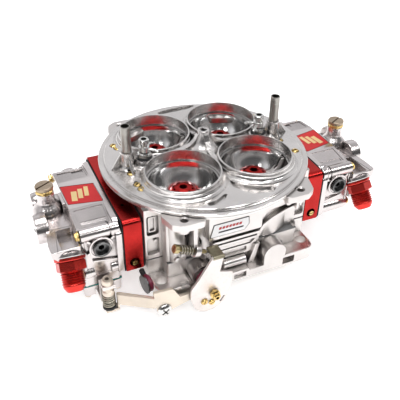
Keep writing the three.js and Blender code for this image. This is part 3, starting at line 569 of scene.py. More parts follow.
def end_pockets(sx, sy):
    """Pockets in the end walls; the upper one holds a raised frame."""
    return [("-", box(64.6 * sx, 75.2 * sx, 53.4 * sy, 58 * sy, 54, 73.6, 2.4, "y")),
            ("-", box(64.6 * sx, 75.2 * sx, 53.4 * sy, 58 * sy, 33.2, 51, 2.4, "y")),
            ("+", box(66.6 * sx, 73.2 * sx, 52 * sy, 55.6 * sy, 56, 71.6, 1.5, "y", 0.4)),
            ("-", box(67.8 * sx, 72.0 * sx, 53.8 * sy, 57 * sy, 57.4, 70.2, 1.2, "y")),
            ("+", rod(1.6, (67.4 * sx, 50 * sy, 46.5), (67.4 * sx, 56.3 * sy, 46.5), 20, 0.4))]


def idle_lug():
    """The idle screw's lug, the hollow behind it and the small bosses and webs below."""
    brace = rounded([(-46, 43), (-42.4, 46), (-30, 33), (-30, WALL_FOOT), (-33.5, WALL_FOOT)], 0.8, 2)
    window = rounded([(-43, 52), (-35, 52), (-31, 44), (-31, 37.5)], 1.4, 3)
    bosses = [("+", rod(r, (x, -60, z), (x, y, z), 24, edge))
              for r, x, y, z, edge in ((3.2, -55, -73.2, 42, 0.9), (2.6, -49.5, -73.6, 38.0, 0.8),
                                       (2.4, -54.5, -72.8, 34.0, 0.8))]
    return [("-", box(-47, -34, -75, -61, 53, 72.5, 2.5, "y")),
            ("+", rod(5.6, idle_point(16.5), idle_point(21.5), 32, 0.6)),
            ("+", box(-44, -39.5, -80.6, -66, 42.5, 75, 1.4, "z", 0.5)),
            ("-", rod(2.3, idle_point(8), idle_point(28), 20))] + bosses + [
            ("+", prism(brace, -75, -60, "y", 0.5)), ("-", prism(window, -76, -64.9, "y"))]


def body_walls():
    """The casting under the air horn, down to the throttle body."""
    core = box(-62.5, 62.5, -67, 67, WALL_FOOT, WALL_TOP, 3)
    steps = [("+", box(-77, 77, -57, 57, WALL_FOOT, WALL_TOP, 2.2))] + side_face(-1) + side_face(1)
    for _, sx, sy in CORNERS:
        steps += under_ear(sx, sy) + end_pockets(sx, sy)
    return build(core, *steps, *idle_lug(), ("-", bores(SLEEVE_SEAT, 20, 90)))


piece("air_horn", air_horn(), HORN, ["main_body"])
for name, sx, sy in CORNERS:
    piece("horn_ear_" + name, ear(sx, sy), CAST)
piece("body_casting", body_walls(), CAST)
for i, (x, y) in enumerate(BLEEDS):
    piece(f"air_bleed_{i + 1}", air_bleed(x, y, 0.6 + 1.1 * i), BRASS)


# ---------------------------------------------------------------- funnels and boosters
FUNNEL_OUTSIDE = 30.9
FUNNEL_WALL = [(29.4, 84.3), (29.3, 83.0), (29.0, 79.8), (27.5, 75.6), (25.2, 71.2), (22.4, 67.0),
               (19.9, 63.2), (18.4, 59.6), (18.1, 55), (18.8, 49), (20.6, 42), (23.4, 36), (26.4, 30)]


def smooth_curve(points):
    """A Catmull-Rom curve through the points, three steps to each stretch."""
    out, last = [points[0]], len(points) - 1
    for i in range(last):
        a, b, c, d = (Vector(points[max(0, min(last, i + k))]) for k in (-1, 0, 1, 2))
        for t in (1 / 3, 2 / 3, 1):
            bend = (2 * a - 5 * b + 4 * c - d) * t * t + (3 * b - a - 3 * c + d) * t ** 3
            out.append(tuple(0.5 * (2 * b + (c - a) * t + bend)))
    return out


def funnel(sx, sy, side):
    x, y, _ = at = bore_at(sx, sy)
    section = [(FUNNEL_OUTSIDE, 30), (FUNNEL_OUTSIDE, 84.3)] + smooth_curve(FUNNEL_WALL)
    return build(ring(section, at, n=128),
                 ("-", box(x + side * 14, x + side * 30.2, y - 3.6, y + 3.6, 59.6, 86, 0.8, "x")))


def booster(sx, sy):
    """The anodised ring in the middle of the funnel, domed, with a row of drillings."""
    x, y, _ = at = bore_at(sx, sy)
    section = [(3.0, 56), (8.8, 56), (10.6, 57), (11.8, 61), (12.1, 68), (12.0, 72.0), (11.2, 74.6),
               (9.6, 76.4), (7.4, 77.6), (4.8, 78.2), (3.2, 78.2), (3.0, 72)]
    holes = [post(1.0, x + 8.0 * cos(a), y + 8.0 * sin(a), 73, 80, 10)
             for a in (2 * pi * k / 10 for k in range(10))]
    return build(ring(rounded(section, 0.6, 2), at, n=64), ("-", holes),
                 ("-", ring_cut(11.6, 12.6, 65.6, 66.6, at, n=64)))


def booster_leg(sx, sy, side):
    x, y, _ = at = bore_at(sx, sy)
    outline = [(10.8, 62), (24, 61), (29.8, 64), (29.8, 83.6), (26, 83.6), (22.6, 76), (18, 72), (10.8, 71)]
    arm = mirrored(prism(rounded(outline, 1.0, 3), -2.4, 2.4, "y", 0.5), -side)
    arm.data.transform(Matrix.Translation(at))
    return build(arm, ("-", box(x + side * 20, x + side * 28.6, y - 1.1, y + 1.1, 73.5, 86, 0.3, "x")))


for name, sx, sy in CORNERS:
    side = -sx * sy
    piece("venturi_funnel_" + name, funnel(sx, sy, side), POLISHED,
          ["venturi_sleeve_" + name], smooth=40)
    piece("booster_ring_" + name, booster(sx, sy), RED, ["booster_" + name])
    piece("booster_leg_" + name, booster_leg(sx, sy, side), CAST)


# ---------------------------------------------------------------- throttle body
BASE_TOP = 28


def base_side(s):
    """Webs, shaft guard and pump-screw boss on one long side of the base."""
    web = [(10.8, 7), (14.2, 15), (17.4, 26), (18, BASE_TOP), (22.6, BASE_TOP), (20.4, 19), (17.4, 7)]
    left = [(-23, BASE_TOP), (-17.5, BASE_TOP), (-12.4, 17), (-11, 7), (-17, 7), (-20, 18)]
    rib = [(60 * s, 8), (77 * s, 8), (68 * s, 19), (60 * s, 22)]
    return [("+", prism(for_side(web, s), s * 60, s * 73.5, "y", 0.6)),
            ("+", prism(for_side(left, s), s * 60, s * 71.5, "y", 0.6)),
            ("+", box(-20, 20, s * 60, s * 70.4, 19, BASE_TOP, 1.5, "y", 0.5)),
            ("-", box(-11, 11, s * 68.4, s * 76, 21, 26.4, 1.6, "y")),
            ("+", rod(4.6, (-13, s * 71.5, 13.6), (9, s * 71.5, 13.6), 40, 0.8)),
            ("+", box(-13, 9, s * 60, s * 71.5, 9, 18.2, 0.8, "y")),
            ("+", box(-9, 9, s * 70, s * 82, 0, 10.4, 1.4, "y", 0.5)),
            ("-", box(-6, 6, s * 79.4, s * 84, 2.2, 8.2, 1.0, "y")),
            ("+", rod(5, (-PIVOT_X * s, 76 * s, PIVOT_Z), (-PIVOT_X * s, 84 * s, PIVOT_Z), 32, 0.6)),
            ("+", box(67 * s, 76.3 * s, 75 * s, 84 * s, -2, 8, 1, "z", 0.5))] + [
            ("+", prism(rib, x - 1.4, x + 1.4, "x", 0.5)) for x in (21.5 * s, -47 * s)]


def throttle_base():
    base = prism(rect(-75.5, 75.5, -82, 82, 12, 8), 0, 8, edge=0.8)
    steps = []
    for _, sx, sy in CORNERS:
        foot = [(40.5 * sx, 53 * sy), (75.5 * sx, 53 * sy), (75.5 * sx, 82 * sy), (40.5 * sx, 82 * sy)]
        shaft_boss = rod(11, (SHAFT_X * sx, 61 * sy, SHAFT_Z), (SHAFT_X * sx, 82 * sy, SHAFT_Z), 64, 1.0)
        steps += [("+", prism(rounded(foot, 9, 8, skip=(0, 1, 3)), 0, 13, edge=0.9)), ("+", shaft_boss),
                  ("+", box(23.2 * sx, 43.6 * sx, 61 * sy, 82 * sy, 1, 17, 1, "z", 0.8))]
    steps += [("+", box(-62, 62, -68, 68, 1, BASE_TOP, 2, "z", 0.6)),
              ("+", box(-76.8, 76.8, -57, 57, 1, BASE_TOP, 2, "z", 0.6))]
    steps += base_side(-1) + base_side(1)
    for _, sx, sy in CORNERS:
        steps += [("-", post(5, STUD * sx, STUD * sy, -2, 20, 40)),
                  ("-", rod(27, bore_at(sx, sy, -2), bore_at(sx, sy, 30), 96)),
                  ("-", ring_cut(28.6, 30.2, -1, 0.7, bore_at(sx, sy), n=96))]
    # the secondary shaft's hole stops short of the lever side
    for s, near_end in ((-1, -83), (1, -79)):
        steps += [("-", rod(4.9, (SHAFT_X * s, near_end, SHAFT_Z), (SHAFT_X * s, 83, SHAFT_Z), 40)),
                  ("-", rod(2.3, (-PIVOT_X * s, 74 * s, PIVOT_Z), (-PIVOT_X * s, 86 * s, PIVOT_Z), 24))]
    steps += [("-", box(42.4, 54.4, -83, -75, 2.5, 10, 1.2, "y")),
              ("-", box(-55.6, -47, -83, -77.5, 9.4, 14, 1.2)),
              ("-", box(22, 50, -1.5, 1.5, -1, 0.8, 1)), ("-", box(-50, -22, -1.5, 1.5, -1, 0.8, 1))]
    return build(base, *steps)


piece("throttle_base", throttle_base(), CAST, ["throttle_body"])


# ---------------------------------------------------------------- fuel bowls
INLET = Vector((-137.5, -49, 48))
DOWN = Vector((-sin(radians(4)), -cos(radians(52)), -sin(radians(52)))).normalized()
# y, z and boss radius of the screws that hold the bowl
BOWL_SCREWS = [(-48.3, 65.1, 5.7), (45.8, 61.5, 4.3), (-48.3, 26.6, 5.7), (48.3, 26.6, 5.7)]
COVER_SCREWS = [(-126.3, -45.3), (-100.2, -45.3), (-126.3, 9.3), (-100.2, 9.3)]
COVER_Z = 10.8
ALONG_X = (1, 0, 0)


def inlet(out):
    return INLET + DOWN * out


def bowl_top():
    """Mounting flange, screw bosses with their collars, machined rails and the shallow pads of the lid."""
    slab = [(-55, 20.5), (55, 20.5), (55, 61.8), (45, 71.8), (-45, 71.8), (-55, 61.8)]
    step = [(-44, 69.8), (44, 69.8), (49, 64.8), (49, 58.8), (-49, 58.8), (-49, 64.8)]
    steps = [("+", prism(rounded(slab, 3.5, 4), -100, -95, "x", 0.6)),
             ("+", prism(rounded(step, 2, 3), -101.2, -99, "x", 0.5))]
    steps += [("+", rod(r, (-127.6, y, z), (-96, y, z), 40, 0.8)) for y, z, r in BOWL_SCREWS]
    steps += [("-", rod(0.9, (-125.5, y, z), (-101.5, y, z), 16))
              for y, z in ((-43.4, 70.1), (-52.6, 60.6), (43.6, 69.6))]
    for y, z, r in BOWL_SCREWS[:2]:
        collar = [(0, 0), (r + 0.6, 0), (r + 0.6, 2.6), (0, 2.6)]
        steps += [("-", ring_cut(r - 1, r + 1.4, 0, 1.2, (-104.6, y, z), ALONG_X, 40)),
                  ("+", soft_lathe(collar, (-103, y, z), ALONG_X, 40, 0.6))]
    pads = ((-23, 70.9, -41.3, 68.4, -125.2, -101.2), (-36.5, 68.6, -41.3, 67.6, -123.6, -102.6),
            (23, 71.0, 38, 69.1, -125.2, -101.2), (31, 69.6, 38, 68.4, -112.6, -102.6))
    steps += [("-", prism([(y0, 75), (y0, z0), (y1, z1), (y1, 75)], x0, x1, "x"))
              for y0, z0, y1, z1, x0, x1 in pads]
    badge_seat = [(-127.2, -13.9), (-98.6, -19.6), (-99.5, 9.2), (-128, 14.4)]
    return steps + [("-", prism(rounded(badge_seat, 1.0, 2), 71.3, 73))]


def sight_boss(y):
    """The round boss of a sight plug with its gussets, on side y."""
    deep, reach = (53.4, 53) if y < 0 else (49, 48)
    steps = [("+", rod(10.2, (PLUG_X, 38 * y, PLUG_Z), (PLUG_X, 54.7 * y, PLUG_Z), 56, 0.8)),
             ("-", ring_cut(7.9, 8.9, 0, 2, (PLUG_X, 54.0 * y, PLUG_Z), (0, y, 0), 56))]
    for x0, z0, x1, z1 in ((-123.4, 61.5, -118.6, 57), (-100.6, 60.6, -105.2, 57.2),
                           (-124, 47.4, -119.8, 49.8)):
        across = Vector((z1 - z0, x0 - x1)).normalized() * 1.1
        gusset = [(x0 + across.x, z0 + across.y), (x1 + across.x, z1 + across.y),
                  (x1 - across.x, z1 - across.y), (x0 - across.x, z0 - across.y)]
        steps.append(("+", prism(gusset, 42 * y, deep * y, "y", 0.5)))
    long_rib = [(-120, 40.2), (-98, 36.2), (-98, 34.2), (-120, 38.2)]
    short_rib = [(-104.8, 27.8), (-98, 26.4), (-98, 24.2), (-104.8, 25.6)]
    return steps + [("+", prism(long_rib, 42 * y, reach * y, "y", 0.5)),
                    ("+", prism(short_rib, 40 * y, (reach - 0.6) * y, "y", 0.4)),
                    ("+", box(-127.6, -125.2, 42 * y, (reach - 1) * y, 31, 60, 0.8, "z", 0.4))]


def end_housing(py):
    """The housing of the float's hinge, the inlet passage and the needle tower; py as in bowl()."""
    far_slope = [(-165, 30), (-146, 30), (-146, -4), (-152.2, -46), (-152.2, -62), (-165, -62)]
    under_slope = [(-162, 57.5), (-152.5, 57.5), (-131, 34.5), (-131, 30), (-162, 30)]
    tower = [(0, 50), (12.2, 50), (12.6, 53), (12.6, 62.4), (12.0, 64.8), (10.2, 67.6), (8.2, 69.8),
             (7.4, 71.6), (7.2, 73.6), (7.2, 80.4), (0, 80.4)]
    inlet_boss = [(0, -4), (12.6, -4), (13.6, -3), (13.6, -0.6), (13.2, 0), (0, 0)]
    slanted_groove = [(-140.6, -14), (-140.0, -14), (-146.4, -56.5), (-147.0, -56.5)]
    return [("+", box(-152, -127.5, -56, 22, 34, 61, 3.5, "z", 0.9)),
            ("-", prism(far_slope, 30, 70)),
            ("-", prism(under_slope, -60, -14, "y")),
            ("+", rod(12.6, (-146.5, -16, 56.5), (-156.8, -16, 56.5), 56, 1.2)),
            ("+", rod(10.6, (-142.0, 14, 60.2), (-153.6, 14, 60.2), 56, 3.4)),
            ("+", lathe(tower, TOWER, n=64)),
            ("+", box(-131, -127.8, -9, 9, 60, 70.5, 1.2, "x", 0.6)),
            ("-", box(-160, -128.6, -60, -40, 20, 36)),
            ("-", box(-160, -128.6, 40, 60, 20, 36)),
            ("-", box(-119.6, -105.4, -60 * py, -51 * py, 19, 35, 1, "x")),
            ("+", lathe(inlet_boss, inlet(0), DOWN, 64)),
            ("-", box(-143.4, -129.4, -54.8, -29.4, 54.0, 64, 1.6)),
            ("-", box(-146, -129.4, -27.7, -27.2, 60.3, 64)),
            ("-", prism(slanted_groove, 60.3, 64))]


def pump_seat(py):
    steps = [("+", box(-130, -96.5, -49 * py, 13 * py, COVER_Z, 26, 4, "z", 0.5)),
             ("+", box(-127.5, -99, -51.4, -44, 20.6, 23.4, 1, "z", 0.4)),
             ("+", box(-128.2, -98.8, 38, 46, 20.6, 23.4, 1, "z", 0.4))]
    return steps + [("+", post(3.7, x, y * py, COVER_Z, 20, 24)) for x, y in COVER_SCREWS]


def bowl_inside():
    """Float and hinge chambers, needle bore, sight holes, inlet and the thin slot across the near lobe."""
    lobe_slot = [(-23.6, 59.7), (-22.6, 61.1), (-9.8, 54.0), (-10.8, 52.6)]
    sight_holes = [rod(5.3, (PLUG_X, 38 * y, PLUG_Z), (PLUG_X, 57 * y, PLUG_Z), 24) for y in (-1, 1)]
    return [("-", box(-125.5, -94, -41, 41, 27, 66)),
            ("-", box(-150.7, -124.5, -11.5, 11.5, 41.4, 58.6)),
            ("-", post(3.6, *TOWER[:2], 50, 82, 24)),
            ("-", sight_holes),
            ("-", rod(5.6, inlet(-5), inlet(3), 32)),
            ("-", prism(lobe_slot, -158, -154.6, "x"))]


def bowl(s):
    """A fuel bowl at the -X end; py is the side that carries the accelerator pump."""
    py = -s
    section = [(-44, 23), (-51, 29), (-51, 61.5), (-44.5, 68.6), (-20, 71.9), (20, 71.9), (40, 69.5),
               (46, 62), (46, 29), (40, 23)]
    tank = prism(rounded(section, 3, 4), -128.5, -95.5, "x", 0.9, 3)
    return build(tank, *bowl_top(), *sight_boss(-1), *sight_boss(1), *end_housing(py), *pump_seat(py),
                 *bowl_inside())


def screw_head(at, axis):
    """A hexagon head with a slot and a washer face."""
    r, height = 3.6, 3.2
    at, axis = Vector(at), Vector(axis)
    head = lathe([(0, 0.9), (r, 0.9), (r, height - 0.5), (r * 0.82, height), (0, height)], at, axis, 6)
    slot = aimed(box(-r * 1.3, r * 1.3, -0.42, 0.42, height - 1.1, height + 1), at, axis)
    return build(head, ("+", disc(r * 1.18, 0, 1.0, at, axis, 32)), ("-", slot))


LID_Z = 71.2
BADGE_CORNERS = [(-126.8, -13.3), (-99.1, -18.9), (-100.0, 8.6), (-127.5, 13.8)]


def badge_bars():
    """Three slanted bars; u and v are the badge's own directions, and a and b are shares of them."""
    origin, u, v = Vector(BADGE_CORNERS[0]), Vector((25.6, -5.4)), Vector((-0.8, 27.3))
    lean = 0.10
    bars = []
    for a0, a1, b0, b1 in ((0.16, 0.34, 0.14, 0.66), (0.40, 0.55, 0.26, 0.78), (0.62, 0.76, 0.36, 0.88)):
        outline = [(a0, b0), (a1, b0), (a1 + lean, b1), (a0 + lean, b1)]
        bars.append(prism([tuple(origin + u * a + v * b) for a, b in outline], LID_Z + 0.6, LID_Z + 0.8))
    return merged(*bars)


for end, s in ENDS:
    piece("bowl_" + end, mirrored(bowl(s), s), BOWL, ["fuel_bowl_" + end])
    heads = [screw_head((-128.4, y, z), (-1, 0, 0)) for y, z, _ in BOWL_SCREWS]
    piece("bowl_screws_" + end, mirrored(merged(*heads), s), BRASS)
    plate = prism(rounded(BADGE_CORNERS, 1.0, 3), LID_Z, LID_Z + 0.75, edge=0.15)
    piece("badge_" + end, mirrored(plate, s), BADGE)
    piece("badge_bars_" + end, mirrored(badge_bars(), s), IVORY)


# ---------------------------------------------------------------- metering blocks, fittings and small steel
def metering_block():
    section = [(-55, 20.5), (55, 20.5), (55, 71.8), (-55, 71.8)]
    slab = prism(rounded(section, 5.5, 8, skip=(0, 1)), -93.7, -78.3, "x", 0.5)

    def wells(r, start, stop, n):
        return [rod(r, (BLOCK_MIDDLE, start * y, SCREW_WELL_Z), (BLOCK_MIDDLE, stop * y, SCREW_WELL_Z), n)
                for y in (-1, 1)]

    return build(slab, ("-", wells(4.4, 56, 49.5, 32)), ("-", wells(2.9, 52, 43, 24)),
                 ("-", [post(1.5, -86.4, 31 * y, 68, 73, 16) for y in (-1, 1)]))


def red_fitting():
    """The inlet fitting: flange, hexagon, threads, cone and bore."""
    profile = [(0, -3.8), (5.2, -3.8), (5.2, 0.35), (12.6, 0.35), (12.6, 2.2), (12.0, 3.0), (9.4, 3.2),
               (9.4, 11.6), (8.9, 12.2)]
    for k in range(5):
        h = 12.6 + 1.9 * k
        profile += [(8.6, h), (9.45, h + 0.55), (9.45, h + 0.95), (8.6, h + 1.5)]
    profile += [(8.7, 22.4), (9.1, 22.8), (8.6, 24.2), (6.4, 27.6), (5.6, 28), (4.4, 28), (4.2, 27.4),
                (4.2, -1.8), (0, -1.8)]
    hexagon = [(0, 3.0), (11.0, 3.0), (12.3, 3.8), (12.3, 10.6), (11.0, 11.4), (0, 11.4)]
    return build(lathe(profile, inlet(0), DOWN, 64), ("+", lathe(hexagon, inlet(0), DOWN, 6, 0.2)),
                 ("-", rod(4.2, inlet(-1.7), inlet(30), 40)))


def sight_plug():
    at = (PLUG_X, -55, PLUG_Z)
    profile = [(0, -10), (4.9, -10), (4.9, 0.3), (7.2, 0.3), (7.2, 2.2), (6.8, 2.6), (5.9, 2.6), (5.4, 2.1),
               (5.2, -1.2), (0, -1.2)]
    return build(lathe(profile, at, NEAR), ("-", disc(2.7, -4.5, 0, at, NEAR, 6, 0.4)))


def adjuster_cap():
    profile = [(0, 83.7), (7.1, 83.7), (7.5, 84.2), (7.5, 86.3), (7.0, 87.0), (0, 87.0)]
    slot = aimed(box(-9.5, 9.5, -0.75, 0.75, 85.8, 88), TOWER, Z, 28)
    return build(soft_lathe(profile, TOWER, n=56), ("+", post(3.2, *TOWER[:2], 68, 82, 24)), ("-", slot))


def tower_nut():
    profile = [(0, 80.5), (7.6, 80.5), (7.6, 82.8), (6.9, 83.5), (0, 83.5)]
    return build(lathe(profile, TOWER, n=6, phase=0.2), ("-", post(3.5, *TOWER[:2], 79, 85, 24)))


def vent_tube(s):
    section = [(3.3, 93.5), (4.2, 93.5), (4.2, 102.4), (4.15, 112), (4.2, 118.0), (4.35, 118.4),
               (4.35, 119.2), (4.2, 119.6), (4.2, 125.4), (3.9, 126), (3.5, 126), (3.3, 125.6)]
    return ring(section, (VENT_X * s, 0, 0))


def squirter(s):
    """A pump nozzle: octagon foot, necked body with a hexagon socket, two bent outlets and two pins."""
    x = SQUIRTER_X * s
    foot = lathe([(0, 93.4), (5.9, 93.4), (5.9, 96.8), (5.0, 98.0), (0, 98.0)], (x, 0, 0), n=8, phase=0.3)
    neck = [(0, 93.4), (3.2, 97), (3.4, 98.5), (4.5, 99), (4.5, 103.4), (3.8, 104), (3.0, 104.4), (3.0, 106),
            (4.3, 106.6), (4.3, 109.7), (3.8, 110.4), (2.5, 110.4), (2.5, 107.4), (0, 107.4)]
    outlet = [(0, 0, 101.2), (3.4, 3, 101.3), (7.2, 6.2, 101.0), (9.6, 8.2, 99.6)]
    arms = [sweep([(x - s * u, v * y, z) for u, v, z in outlet], 1.2, 12) for y in (-1, 1)]
    pins = [post(1.5, x + 3.6 * s, 2.2 * y, 92.6, 95.2, 12, 0.3) for y in (-1, 1)]
    return build(foot, ("+", lathe(neck, (x, 0, 0), n=40)), ("+", arms), ("+", pins),
                 ("-", disc(1.9, 106.8, 112, (x, 0, 0), n=6)))


for end, s in ENDS:
    piece("meter_block_" + end, turned(metering_block(), s), RED, ["metering_block_" + end])
    # the fitting's brighter red is partly painted light
    piece("inlet_fitting_" + end, mirrored(red_fitting(), s), BRIGHTENED_FITTING,
          ["fuel_fitting_" + end], smooth=25)
    piece("sight_window_" + end, mirrored(sight_plug(), s), DARK_STEEL, ["sight_plug_" + end])
    far_plug = flipped(sight_plug(), (0, 1, 0))
    piece("sight_window_far_" + end, mirrored(far_plug, s), DARK_STEEL)
    piece("adjuster_cap_" + end, turned(adjuster_cap(), s), BRONZE,
          ["needle_adjuster_" + end], body="adjuster_set_" + end)
    piece("tower_nut_" + end, turned(tower_nut(), s), BRASS)
    piece("vent_pipe_" + end, vent_tube(s), STEEL, ["vent_tube_" + end])
    piece("squirter_" + end, squirter(s), BRIGHT, ["pump_nozzle_" + end])
    seal = [(2.5, 92.5), (6.6, 92.5), (6.8, 92.9), (6.6, 93.4), (2.5, 93.4)]
    piece("squirter_seal_" + end, ring(seal, (SQUIRTER_X * s, 0, 0), n=40), RUBBER)


# ---------------------------------------------------------------- accelerator pumps
PLATE_NEAR, PLATE_FAR = -87.5, -84.5
PUMP_MIDDLE = (PUMP_X, -19)
BOLT = (PUMP_X, PUMP_BOLT_Y, 0)


def pump_cover():
    shell = box(-130, -96.5, -49, 13, -1, 9.4, 4, "z", 0.9)
    return build(shell, ("-", disc(13, -3, 7, (*PUMP_MIDDLE, 0), n=56)),
                 ("-", box(-120, -105, -50, 14, -3, 5.2, 0.8, "y")),
                 ("-", box(-131, -96, -44, -34, -3, 0.4, 1, "x")),
                 ("-", box(-131, -96, -4, 6, -3, 0.4, 1, "x")))


def cover_screws():
    profile = [(0, 0), (3.2, 0), (3.2, 1.2), (2.4, 2.2), (0, 2.4)]
    return merged(*[lathe(profile, (x, y, -0.9), (0, 0, -1), 24) for x, y in COVER_SCREWS])


def pump_arm():
    half, hinge_y, hinge_z = 5.5, 8, -3.6
    side = [(11, -5.1), (-55.6, -5.1), (-55.6, 17), (-66.5, 17), (-66.5, 20), (-53.6, 20), (-53.6, -2.1),
            (11, -2.1)]
    bar = prism(rounded(side, 1.2, 3), PUMP_X - half, PUMP_X + half, "x", 0.4)
    return build(bar, ("+", post(6, *PUMP_MIDDLE, hinge_z, 1.5, 32, 0.5)),
                 ("-", post(2.6, *BOLT[:2], 14, 22, 24)),
                 ("-", rod(1.3, (-122, hinge_y, hinge_z), (-103, hinge_y, hinge_z), 16)))


def pump_post():
    """The bolt through the arm, with its block, spring seat and hexagon socket."""
    lower = [(0, -4.4), (2.2, -4.4), (2.2, 8), (5.0, 8.6), (5.2, 10.2), (5.2, 12.6), (4.2, 13.4), (4.2, 16.8),
             (0, 16.8)]
    head = [(0, 20.2), (4.8, 20.2), (4.8, 23.4), (3.9, 25.0), (0, 25.0)]
    return build(lathe(lower, BOLT, n=40), ("+", post(2.2, *BOLT[:2], 16, 21, 24)),
                 ("+", lathe(head, BOLT, n=32)), ("-", disc(2.0, 22.4, 27, BOLT, n=6)))


def pump_lever():
    """The bent strip between the throttle's cam and the pump bolt."""
    cam_side = [(PIVOT_X, -6.5), (-75.6, 2.4), (-72, 4), (-46, 6.5), (-40, 6.5), (-40, 2.5), (-46, 1)]
    upright = [(-82, 19.5), (-65, 18.5), (-59, 8), (-59, 2), (-68, -6), (-78, -6), (-80, 3)]
    bends = [(-104.5, -61.5), (-106.3, -61.5), (-106.3, -64.9), (-82, PLATE_NEAR), (-77, PLATE_NEAR),
             (-77, PLATE_FAR), (-81, PLATE_FAR)]
    follower = prism(rounded(cam_side, 1.4, 3), PLATE_NEAR, PLATE_FAR, "y", 0.4)
    hub = rod(6, (PIVOT_X, PLATE_NEAR, PIVOT_Z), (PIVOT_X, PLATE_FAR, PIVOT_Z), 40, 0.4)
    plate = prism(rounded(upright, 1.2, 3), PLATE_NEAR, PLATE_FAR, "y", 0.4)
    strip = prism(rounded(bends, 0.8, 3), -4, 7.5, edge=0.5)
    for v in strip.data.vertices:
        v.co.z += 0.27 * (v.co.x + 106)
    return build(follower, ("+", hub), ("+", plate), ("+", strip),
                 ("+", box(-60, -49.4, PLATE_NEAR, PLATE_FAR, 1.2, 7.6, 1.0, "y", 0.4)),
                 ("+", box(-106.3, -104.5, -64, -61.5, -11, 0, 0.4, "z", 0.3)),
                 ("+", box(-116.5, -104.5, -64.5, -57.5, -11, -8.6, 1.2, "z", 0.4)),
                 ("-", rod(2.5, (PIVOT_X, -89, PIVOT_Z), (PIVOT_X, -83, PIVOT_Z), 24)))


def cross_head_screw():
    at = (PIVOT_X, -87.6, PIVOT_Z)
    profile = [(0, -5), (2.2, -5), (2.2, 0), (6.0, 0), (6.2, 0.7), (5.2, 2.1), (3.2, 3.0), (0, 3.3)]
    cross = [aimed(box(-3.6, 3.6, -0.75, 0.75, 0.8, 5), at, NEAR, spin) for spin in (35, 125)]
    return build(lathe(profile, at, NEAR, 40), ("-", cross))


def pump_cap():
    profile = [(0, -7.4), (4.8, -7.4), (5.9, -6.8), (5.9, -5.0), (5.2, -4.6), (0, -4.6)]
    return soft_lathe(profile, BOLT, n=40)


for end, s in ENDS:
    arm_body = "pump_arm_set_" + end
    piece("pump_housing_" + end, turned(pump_cover(), s), BOWL, ["pump_cover_" + end])
    piece("pump_screws_" + end, turned(cover_screws(), s), CREAM)
    piece("pump_bar_" + end, turned(pump_arm(), s), ZINC, ["pump_arm_" + end], body=arm_body)
    piece("pump_post_" + end, turned(pump_post(), s), CREAM, ["pump_arm_bolt_" + end],
          body=arm_body)
    spring = coil((*BOLT[:2], -4.6), (*BOLT[:2], 9.4), 4.9, 0.75, 5.5)
    piece("pump_spring_" + end, turned(spring, s), WIRE, body=arm_body)
    piece("pump_cap_" + end, turned(pump_cap(), s), RUBBER, body=arm_body)
    piece("pump_strip_" + end, turned(pump_lever(), s), CREAM,
          ["pump_lever_" + end], body="pump_lever_set_" + end)
    piece("pump_screw_" + end, turned(cross_head_screw(), s), BRIGHT)


# ---------------------------------------------------------------- throttle lever and idle screw
STUD_X, STUD_Z = -29.6, 4.4
LEVER_BACK = -88.5


def lever_blade():
    outline = [(-31, 43.6), (-21, 43.6), (-24.4, 26), (-12.4, 22), (-13.5, 5), (-18.6, -9.6), (-28, -16),
               (-39.4, -16.2), (-47, -9), (-50.5, 2.3), (-50.5, 14), (-44, 22)]
    slot = [(-24.4, -8.6), (-22.4, -9.4), (-18.6, -3.6), (-20.4, -2.6)]
    blade = prism(rounded(outline, 10, 6, skip=(0, 1, 2, 3, 4, 11)), LEVER_FACE, LEVER_BACK, "y", 0.4)
    return build(blade, ("+", rod(8, (-SHAFT_X, -90.5, SHAFT_Z), (-SHAFT_X, -82.3, SHAFT_Z), 48, 0.5)),
                 ("-", rod(5.06, (-SHAFT_X, LEVER_BACK, SHAFT_Z), (-SHAFT_X, -81, SHAFT_Z), 32)),
                 ("-", prism(rounded(slot, 0.8, 4), -93, -87, "y")),
                 ("-", rod(2.0, (-38.1, -93, -3.0), (-38.1, -87, -3.0), 24)))


def lever_tab():
    """The lever's bent tab that the idle screw pushes; it stays clear of the base when the throttle opens."""
    tab = box(-31, -21, LEVER_FACE, -76.6, 41.2, 43.6, 0.5, "z", 0.35)
    return build(tab, ("+", rod(1.9, (-31, -90.0, 42.0), (-21, -90.0, 42.0), 24)))


def lever_stud():
    at = (STUD_X, LEVER_FACE, STUD_Z)
    profile = [(0, 0), (3.4, 0), (3.4, 1.2), (4.3, 1.6), (4.3, 3.6), (3.7, 4.2), (2.9, 4.6), (3.4, 5.4),
               (3.4, 6.6), (2.4, 7.6), (0, 7.8)]
    return build(lathe(profile, at, NEAR, 32), ("-", disc(1.6, 5.4, 9, at, NEAR, 6)))


def pan_head(x, z, r, turn):
    profile = [(0, -2.4), (1.9, -2.4), (1.9, 0), (r, 0), (r, 0.9), (r * 0.8, 1.6), (0, 1.8)]
    slot = prism(slot_outline(x, z, radians(turn), 5, 0.4), LEVER_FACE - 3, LEVER_FACE - 0.9, "y")
    return build(lathe(profile, (x, LEVER_FACE, z), NEAR, 28), ("-", slot))


def idle_screw():
    tip = 29.3
    along = idle_point(1) - IDLE_HEAD
    head = [(0, -2), (3.4, -2), (3.8, -1.6), (3.8, 1.6), (3.4, 2), (0, 2)]
    thread = [(0, 1.5)]
    for k in range(26):
        h = 2 + k
        thread += [(1.55, h), (1.85, h + 0.35), (1.85, h + 0.6), (1.55, h + 0.95)]
    thread += [(1.5, tip - 0.8), (1.0, tip), (0, tip)]
    slot = aimed(box(-2.6, 2.6, -0.45, 0.45, -3, -1.2), IDLE_HEAD, along)
    return build(lathe(head, IDLE_HEAD, along, 32), ("+", lathe(thread, IDLE_HEAD, along, 20)), ("-", slot))


LEVER_BODY = "primary_throttle_set"
piece("lever_plate", lever_blade(), ZINC, ["throttle_lever"], body=LEVER_BODY)
